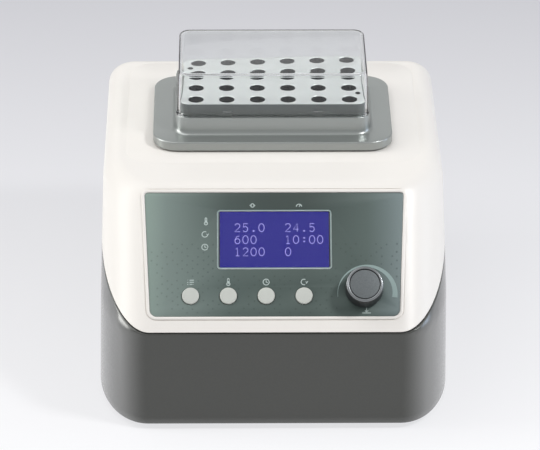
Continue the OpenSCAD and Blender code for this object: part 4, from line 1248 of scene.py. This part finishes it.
# The digits that the display shows, in a box of one by one, and the plain signs, in millimetres
GLYPHS: dict[str, list[list[Point2]]] = {
    "0": [bow(0.5, 0.5, 0.46, 0, 360, 20, 0.5)],
    "1": [[(0.2, 0.82), (0.5, 1.0), (0.5, 0.0)], [(0.2, 0.0), (0.8, 0.0)]],
    "2": [bow(0.5, 0.72, 0.42, 165, -35, 12, 0.28) + [(0.06, 0.0), (0.94, 0.0)]],
    "4": [[(0.72, 0.0), (0.72, 1.0), (0.06, 0.3), (0.94, 0.3)]],
    "5": [[(0.88, 1.0), (0.2, 1.0), (0.14, 0.56)] + bow(0.46, 0.32, 0.42, 125, -145, 16, 0.32)],
    "6": [[(0.8, 0.96), (0.4, 0.88), (0.1, 0.5)] + bow(0.5, 0.31, 0.42, 170, 530, 18, 0.31)],
    ".": [[(0.38, 0.04), (0.64, 0.04), (0.64, 0.13), (0.38, 0.13)]],
    ":": [[(0.38, y), (0.64, y), (0.64, y + 0.09), (0.38, y + 0.09)] for y in (0.22, 0.66)],
}
THERMOMETER = [
    bow(0, -1.1, 0.9, 120, 420, 14) + [(0.45, 1.7)] + bow(0, 1.7, 0.45, 0, 180, 6) + [(-0.45, -0.32)],
    [(0, -1.1), (0, 0.6)],
]
TURN_ARROW = [bow(0, 0, 1.6, 60, 350, 22), [(0.95, 0.2), (1.6, -0.35), (2.15, 0.4)]]
CLOCK = [bow(0, 0, 1.7, 0, 360, 24), [(0, 1.05), (0, 0), (0.8, -0.35)]]
STEPS = [[(left, y), (right, y)] for left, right in ((-1.8, -1.2), (-0.5, 1.9)) for y in (1.2, 0, -1.2)]
AIM = [bow(0, 0, 1.0, 0, 360, 16), [(-1.6, 0), (-0.5, 0)], [(0.5, 0), (1.6, 0)]]
GAUGE = [bow(0, -0.6, 1.5, 180, 0, 16), [(0, -0.6), (0.75, 0.4)]]
PRESS = [[(-2.4, -1.4), (2.4, -1.4)], [(0, 1.6), (0, -0.9)], [(-0.9, 0.1), (0, -0.9), (0.9, 0.1)]]


@dataclass
class ControlPanel:
    """The overlay with its print, the display, the keys and the dial."""

    film: Point2 = (-1.0, -0.2)
    print_top: float = -0.15
    glyph: Point2 = (3.8, 5.4)
    glyph_pitch: float = 5.2
    sign_scale: float = 1.15
    field_half: Point2 = (35.2, 18.8)
    sign_line: float = 0.55
    sign_s: float = 66.4
    digit_line: float = 0.5
    line_thick: float = 0.04
    pane: Point3 = (37.0, 19.9, 2.0)
    dial_r: float = 12.3
    dial_low: float = 1.5
    dial_h: float = 12.3
    scale_at: Point2 = (59.8, 74.3)
    scale_r: float = 19.4
    scale_deg: Point2 = (186.0, -8.0)
    dot_r: float = 0.62
    dot_rows: int = 18
    dot_columns: int = 12
    dot_from_s: float = 41.0
    dot_pitch: Point2 = (6.6, 2.7)
    dot_share: float = 0.72

    def build(self) -> None:
        """Builds every piece on the slope."""
        self._overlay()
        self._dots()
        self._signs()
        self._display()
        self._digits()
        self._keys()
        self._dial()

    def _overlay(self) -> None:
        """The film with its openings."""
        dv = PANEL_MID_S
        hx, hy, r = (side + 0.1 for side in self.pane)
        outlines = [overlay_outline(), rounded_outline(hx, hy, r, 0, dv - WINDOW_S),
                    circle(DIAL_X, dv - DIAL_S, DIAL_HOLE_R)]
        outlines += [circle(x, dv - KEY_S, KEY_HOLE_R) for x in KEY_XS]
        film = flat_piece("overlay_film", outlines, *self.film, edge=0.12, place=SLOPE.matrix(0, dv))
        dress(film, OVERLAY_FILM, "chassis", ["control_overlay"])
        crescent = flat_piece("dial_crescent", [self._crescent()], self.film[1] - 0.05, self.print_top,
                              place=SLOPE.matrix(*self.scale_at))
        dress(crescent, PRINT_LIGHT, "chassis")

    def _crescent(self) -> list[Point2]:
        """A scale that widens from a point at the left to a flat end at the right."""
        outer_r, steps = self.scale_r, 40
        start, end = self.scale_deg
        outer, inner = [], []
        for k in range(steps + 1):
            t = k / steps
            a = math.radians(start + (end - start) * t)
            width = 0.25 + 3.2 * t**1.15
            outer.append((outer_r * math.cos(a), outer_r * math.sin(a)))
            inner.append(((outer_r - width) * math.cos(a), (outer_r - width) * math.sin(a)))
        return outer + inner[::-1]

    def _dots(self) -> None:
        """Faint dark dots over the lower part of the film, in staggered rows."""
        chance = random.Random(7)
        points = []
        across, down = self.dot_pitch
        for row in range(self.dot_rows):
            s = self.dot_from_s + down * row
            for column in range(-self.dot_columns, self.dot_columns + 1):
                x = across * column + across / 2 * (row % 2) + chance.uniform(-0.4, 0.4)
                spot_s = s + chance.uniform(-0.3, 0.3)
                if self._free(x, spot_s):
                    points.append((x, -spot_s, 0.0))
        half = self.line_thick / 2
        dot = lathe([(0, -half), (self.dot_r, -half), (self.dot_r, half), (0, half)], 8)
        place = SLOPE.matrix(0, 0, self.film[1] + half)
        dots = copies("overlay_dots", dot, points, PRINT_DOTS, place, self.dot_share)
        dress(dots, PRINT_DOTS, "chassis")

    def _free(self, x: float, s: float) -> bool:
        """Whether a dot at a place stays on bare film."""
        off_film = abs(x) > 80.0 - 0.04 * (s - self.dot_from_s) or s > 87.5
        at_window = abs(x) < self.pane[0] + 2.5 and s < 60.0
        at_key = any(math.hypot(x - key_x, s - KEY_S) < KEY_R + 1.6 for key_x in KEY_XS)
        scale_x, scale_s = self.scale_at
        at_scale = math.hypot(x - scale_x, s - scale_s) <= self.scale_r + 2.1
        return not (off_film or at_window or at_key or at_scale)

    def _signs(self) -> None:
        """Small printed signs beside the display, over the keys and under the dial."""
        places = [(THERMOMETER, -44.3, 25.5), (TURN_ARROW, -45.0, 34.2), (CLOCK, -45.0, 42.8),
                  (AIM, -14.1, 14.7), (GAUGE, 16.1, 14.9), (PRESS, 59.0, 85.6)]
        places += zip((STEPS, THERMOMETER, CLOCK, TURN_ARROW), KEY_XS, (self.sign_s,) * 4)
        paths = [
            [(x + self.sign_scale * px, -s + self.sign_scale * py, 0.0) for px, py in path]
            for sign, x, s in places
            for path in sign
        ]
        height = self.film[1] + self.line_thick / 2
        self._strokes("panel_signs", paths, self.sign_line, PRINT_WHITE, height)

    def _strokes(self, name: str, paths: Sequence[Sequence[Point3]], width: float, finish: Finish,
                 height: float) -> None:
        """Draws lines on the slope.

        Args:
            name: The piece's name.
            paths: The lines, across and up the slope from the fold.
            width: Width of a line.
            finish: The ink or light.
            height: Height of the lines above the slope.
        """
        lines = paths_mesh(name, paths)
        stroke_tree().run(lines, {"Width": width, "Thickness": self.line_thick}, finish)
        dress(settle(lines, SLOPE.matrix(0, 0, height)), finish, "chassis")

    def _display(self) -> None:
        """The lit field behind its mask, and the window with its printed outline."""
        hx, hy = self.field_half
        at = SLOPE.matrix(0, WINDOW_S)
        frame_in, frame_out = (36.25, 19.15, 1.5), (36.95, 19.85, 2.0)
        for name, outlines, (low, high), edge, finish, slot, replaced in (
            ("window_pane", [self.pane], (-1.0, -0.1), 0.1, CLEAR_WINDOW, "window", ["display_window"]),
            ("window_outline", [frame_out, frame_in], (-0.09, -0.04), 0, PRINT_LIGHT, "overlay", []),
            ("display_mask", [(36.9, 19.8, 1.9), (hx, hy, 0.4)], (-1.12, -1.02), 0, MASK_INK, "overlay", []),
            ("display_field", [(hx + 0.5, hy + 0.5, 0.3)], (-1.5, -1.2), 0, LIT_FIELD, "display", []),
        ):
            layer = flat_piece(name, [rounded_outline(*half) for half in outlines], low, high, edge, at)
            dress(layer, finish, "chassis", replaced)

    def _digits(self) -> None:
        """The shown numbers, set values at the left and measured ones at the right."""
        width, height = self.glyph
        paths = []
        for x, column in ((-25.8, ("25.0", "600", "1200")), (6.9, ("24.5", "10:00", "0"))):
            for text, s in zip(column, (29.5, 37.6, 45.8)):
                for k, letter in enumerate(text):
                    left, foot = x + k * self.glyph_pitch, -s - height / 2
                    for path in GLYPHS[letter]:
                        paths.append([(left + px * width, foot + py * height, 0.0) for px, py in path])
        self._strokes("display_digits", paths, self.digit_line, LIT_DIGIT, -1.16)

    def _keys(self) -> None:
        """The four round key caps."""
        r = KEY_R
        profile = [(0, -3.4), (r, -3.4), (r, 0.5)]
        profile += bow(r - 0.55, 0.45, 0.55, 0, 90, 5)
        profile += [(r * 0.6, 1.06), (0, 1.1)]
        for k, x in enumerate(KEY_XS):
            cap = store(f"key_cap_{k + 1}", lathe(profile, 64), place=SLOPE.matrix(x, KEY_S))
            dress(cap, KEY_CAP, f"key_{k + 1}", [f"button_{k + 1}"])

    def _dial(self) -> None:
        """The dial with its rounded rim, the groove inside it and the grained face."""
        r, low, high = self.dial_r, self.dial_low, self.dial_low + self.dial_h
        top_r, edge, floor = r - 0.35, 1.2, high - 1.2
        profile = [(3.0, low + 0.3), (8.4, low), (r - 0.4, low), (r, low + 0.4), (r - 0.05, low + 1.5)]
        profile += bow(top_r - edge, high - edge, edge, 0, 90, 8)
        profile += [(10.35, high), (10.1, high - 0.15), (10.0, high - 0.45), (10.0, floor), (3.0, floor)]
        at = SLOPE.matrix(DIAL_X, DIAL_S)
        knob = dress(store("dial_body", lathe(profile), place=at), DIAL_SIDE, "dial", ["dial_knob"])
        outward = at.to_3x3() @ Vector((0, 0, 1))
        back = at.inverted()
        # Painted highlight: the rim's rounded top edge gets a lighter, more metallic finish
        paint_faces(knob, DIAL_RIM_HIGHLIGHT, lambda middle, normal: normal.dot(outward) > 0.45
                    and (back @ middle).z > high - 0.6 and (back @ middle).xy.length > 10.2)
        face = lathe([(0, high - 1.25), (9.55, high - 1.25), (9.55, high - 0.5), (9.4, high - 0.32),
                      (9.15, high - 0.28), (0, high - 0.28)])
        dress(store("dial_face", face, place=at), DIAL_FACE, "dial", ["dial_cap"])


@dataclass
class CadDress:
    """Finishes for the CAD nodes that stay as they are."""

    finishes: dict[str, Finish] = field(default_factory=lambda: {
        "steel": ZINC_STEEL, "rubber": RUBBER, "panel_black": POWDER_COAT, "black_plastic": BLACK_ABS,
        "board": CIRCUIT, "brass": BRASS, "aluminium": MILLED, "ceramic": CERAMIC, "foam": FOAM,
        "display": BLACK_ABS,
    })

    def build(self) -> None:
        """Gives each shown CAD node the finish of its material slot."""
        for part in frame["record"]["subparts"]:
            node = frame["nodes"][part["node"]]
            finish = self.finishes.get(part["material_slot"])
            if node.hide_render or finish is None:
                continue
            for index in range(max(1, len(node.data.materials))):
                if index < len(node.data.materials):
                    node.data.materials[index] = finish.build()
                else:
                    node.data.materials.append(finish.build())
            LOG.info("%s dressed as %s", node.name, finish.name)


def seen_directly(node: NodeAdder) -> Node:
    """One where the camera sees a surface, straight or in a mirror or through glass, and zero for soft light.

    Args:
        node: add_node for the tree that gets the nodes.

    Returns:
        The node with the share.
    """
    path = node("ShaderNodeLightPath").outputs
    share = node("ShaderNodeMath", {0: path["Is Camera Ray"], 1: path["Is Glossy Ray"]}, operation="ADD")
    both = {0: share, 1: path["Is Transmission Ray"]}
    return node("ShaderNodeMath", both, operation="ADD", use_clamp=True)


@dataclass
class Studio:
    """Camera, lamps, floor and world."""

    azimuth: float = -0.9
    elevation: float = 28.2
    distance: float = 2300.0
    target: Point3 = (-1.5, 0.0, 78.5)
    lens: float = 227.0
    roll: float = 0.3
    world: float = 0.37
    world_seen: float = 0.62
    floor_half: float = 6000.0
    floor_tints: tuple[str, str] = ("#F6F6F8", "#CFCFD4")
    floor_fade: Point2 = (-160.0, 540.0)
    floor_shaded: float = 0.3
    floor_own: float = 0.74

    def build(self) -> None:
        """Sets up the picture."""
        self._camera()
        self._floor()
        self._lamps()
        world = bpy.data.worlds.new("studio")
        world.use_nodes = True
        world.node_tree.nodes["Background"].inputs["Color"].default_value = linear("#F4F5F6")
        node = partial(add_node, world.node_tree)
        range_seen = {"Value": seen_directly(node), "To Min": self.world, "To Max": self.world_seen}
        strength = node("ShaderNodeMapRange", range_seen).outputs[0]
        world.node_tree.links.new(strength, world.node_tree.nodes["Background"].inputs["Strength"])
        bpy.context.scene.world = world
        bpy.context.scene.view_settings.view_transform = "Standard"

    def _camera(self) -> None:
        """The camera at the photograph's angle."""
        data = bpy.data.cameras.new("camera")
        data.lens = self.lens
        data.sensor_width = 36.0
        data.clip_start, data.clip_end = 0.1, 20.0
        camera = bpy.data.objects.new("camera", data)
        a, e = math.radians(self.azimuth), math.radians(self.elevation)
        back = Vector((math.sin(a) * math.cos(e), -math.cos(a) * math.cos(e), math.sin(e)))
        camera.location = (Vector(self.target) + back * self.distance) * MM
        turn = (-back).to_track_quat("-Z", "Y") @ Quaternion((0, 0, 1), math.radians(self.roll))
        camera.rotation_euler = turn.to_euler()
        bpy.context.scene.collection.objects.link(camera)
        bpy.context.scene.camera = camera

    def _floor(self) -> None:
        """A pale floor that darkens a little towards the back."""
        bm = bmesh.new()
        bmesh.ops.create_grid(bm, x_segments=1, y_segments=1, size=self.floor_half)
        floor = store("floor", bm)
        material, node = new_material("floor_paper")
        place = node("ShaderNodeTexCoord").outputs["Object"]
        depth = node("ShaderNodeSeparateXYZ", {0: place}).outputs["Y"]
        near, far = self.floor_fade
        share = node("ShaderNodeMapRange", {"Value": depth, "From Min": near * MM, "From Max": far * MM})
        near_tint, far_tint = map(linear, self.floor_tints)
        colour = node("ShaderNodeMix", {0: share, 6: near_tint, 7: far_tint}, data_type="RGBA").outputs[2]
        dim = {0: 1.0, 6: colour, 7: (self.floor_shaded,) * 3 + (1.0,)}
        shaded = node("ShaderNodeMix", dim, data_type="RGBA", blend_type="MULTIPLY").outputs[2]
        lit = node("ShaderNodeBsdfDiffuse", {"Color": shaded})
        own = node("ShaderNodeEmission", {"Color": colour, "Strength": self.floor_own})
        seen = node("ShaderNodeAddShader", {0: lit, 1: own})
        paper = node("ShaderNodeBsdfDiffuse", {"Color": colour})
        shader = node("ShaderNodeMixShader", {0: seen_directly(node), 1: paper, 2: seen})
        node("ShaderNodeOutputMaterial", {"Surface": shader})
        floor.data.materials.append(material)

    def _lamps(self) -> None:
        """A large lamp above, a small one high at the right, a faint one behind and a strip at each side."""
        for name, place, size, watts, tint in (
            ("top", (-600, 50, 1450), (1300, 1000), 5.5, "#FFFFFF"),
            ("key", (840, -450, 1170), (230, 230), 9.2, "#FFFFFF"),
            ("back", (0, 1500, 850), (1500, 600), 0.9, "#FFFFFF"),
            ("left", (-1250, -50, 560), (500, 1200), 9.4, "#FFFFFC"),
            ("right", (1300, -50, 300), (300, 1100), 3, "#D4E6FF"),
        ):
            data = bpy.data.lights.new(name, "AREA")
            data.shape = "RECTANGLE"
            data.size, data.size_y = size[0] * MM, size[1] * MM
            data.energy = watts
            data.color = linear(tint)[:3]
            lamp = bpy.data.objects.new(name, data)
            lamp.location = Vector(place) * MM
            lamp.rotation_euler = (Vector((0, 0, 80)) - Vector(place)).to_track_quat("-Z", "Y").to_euler()
            bpy.context.scene.collection.objects.link(lamp)


def main() -> None:
    """Builds the picture and every sub-assembly."""
    logging.basicConfig(level=logging.INFO, format="%(message)s")
    Studio().build()
    for assembly in (Housing(), Collar(), TubeBlock(), Lid(), ControlPanel(), CadDress()):
        assembly.build()


if __name__ == "__main__":
    main()
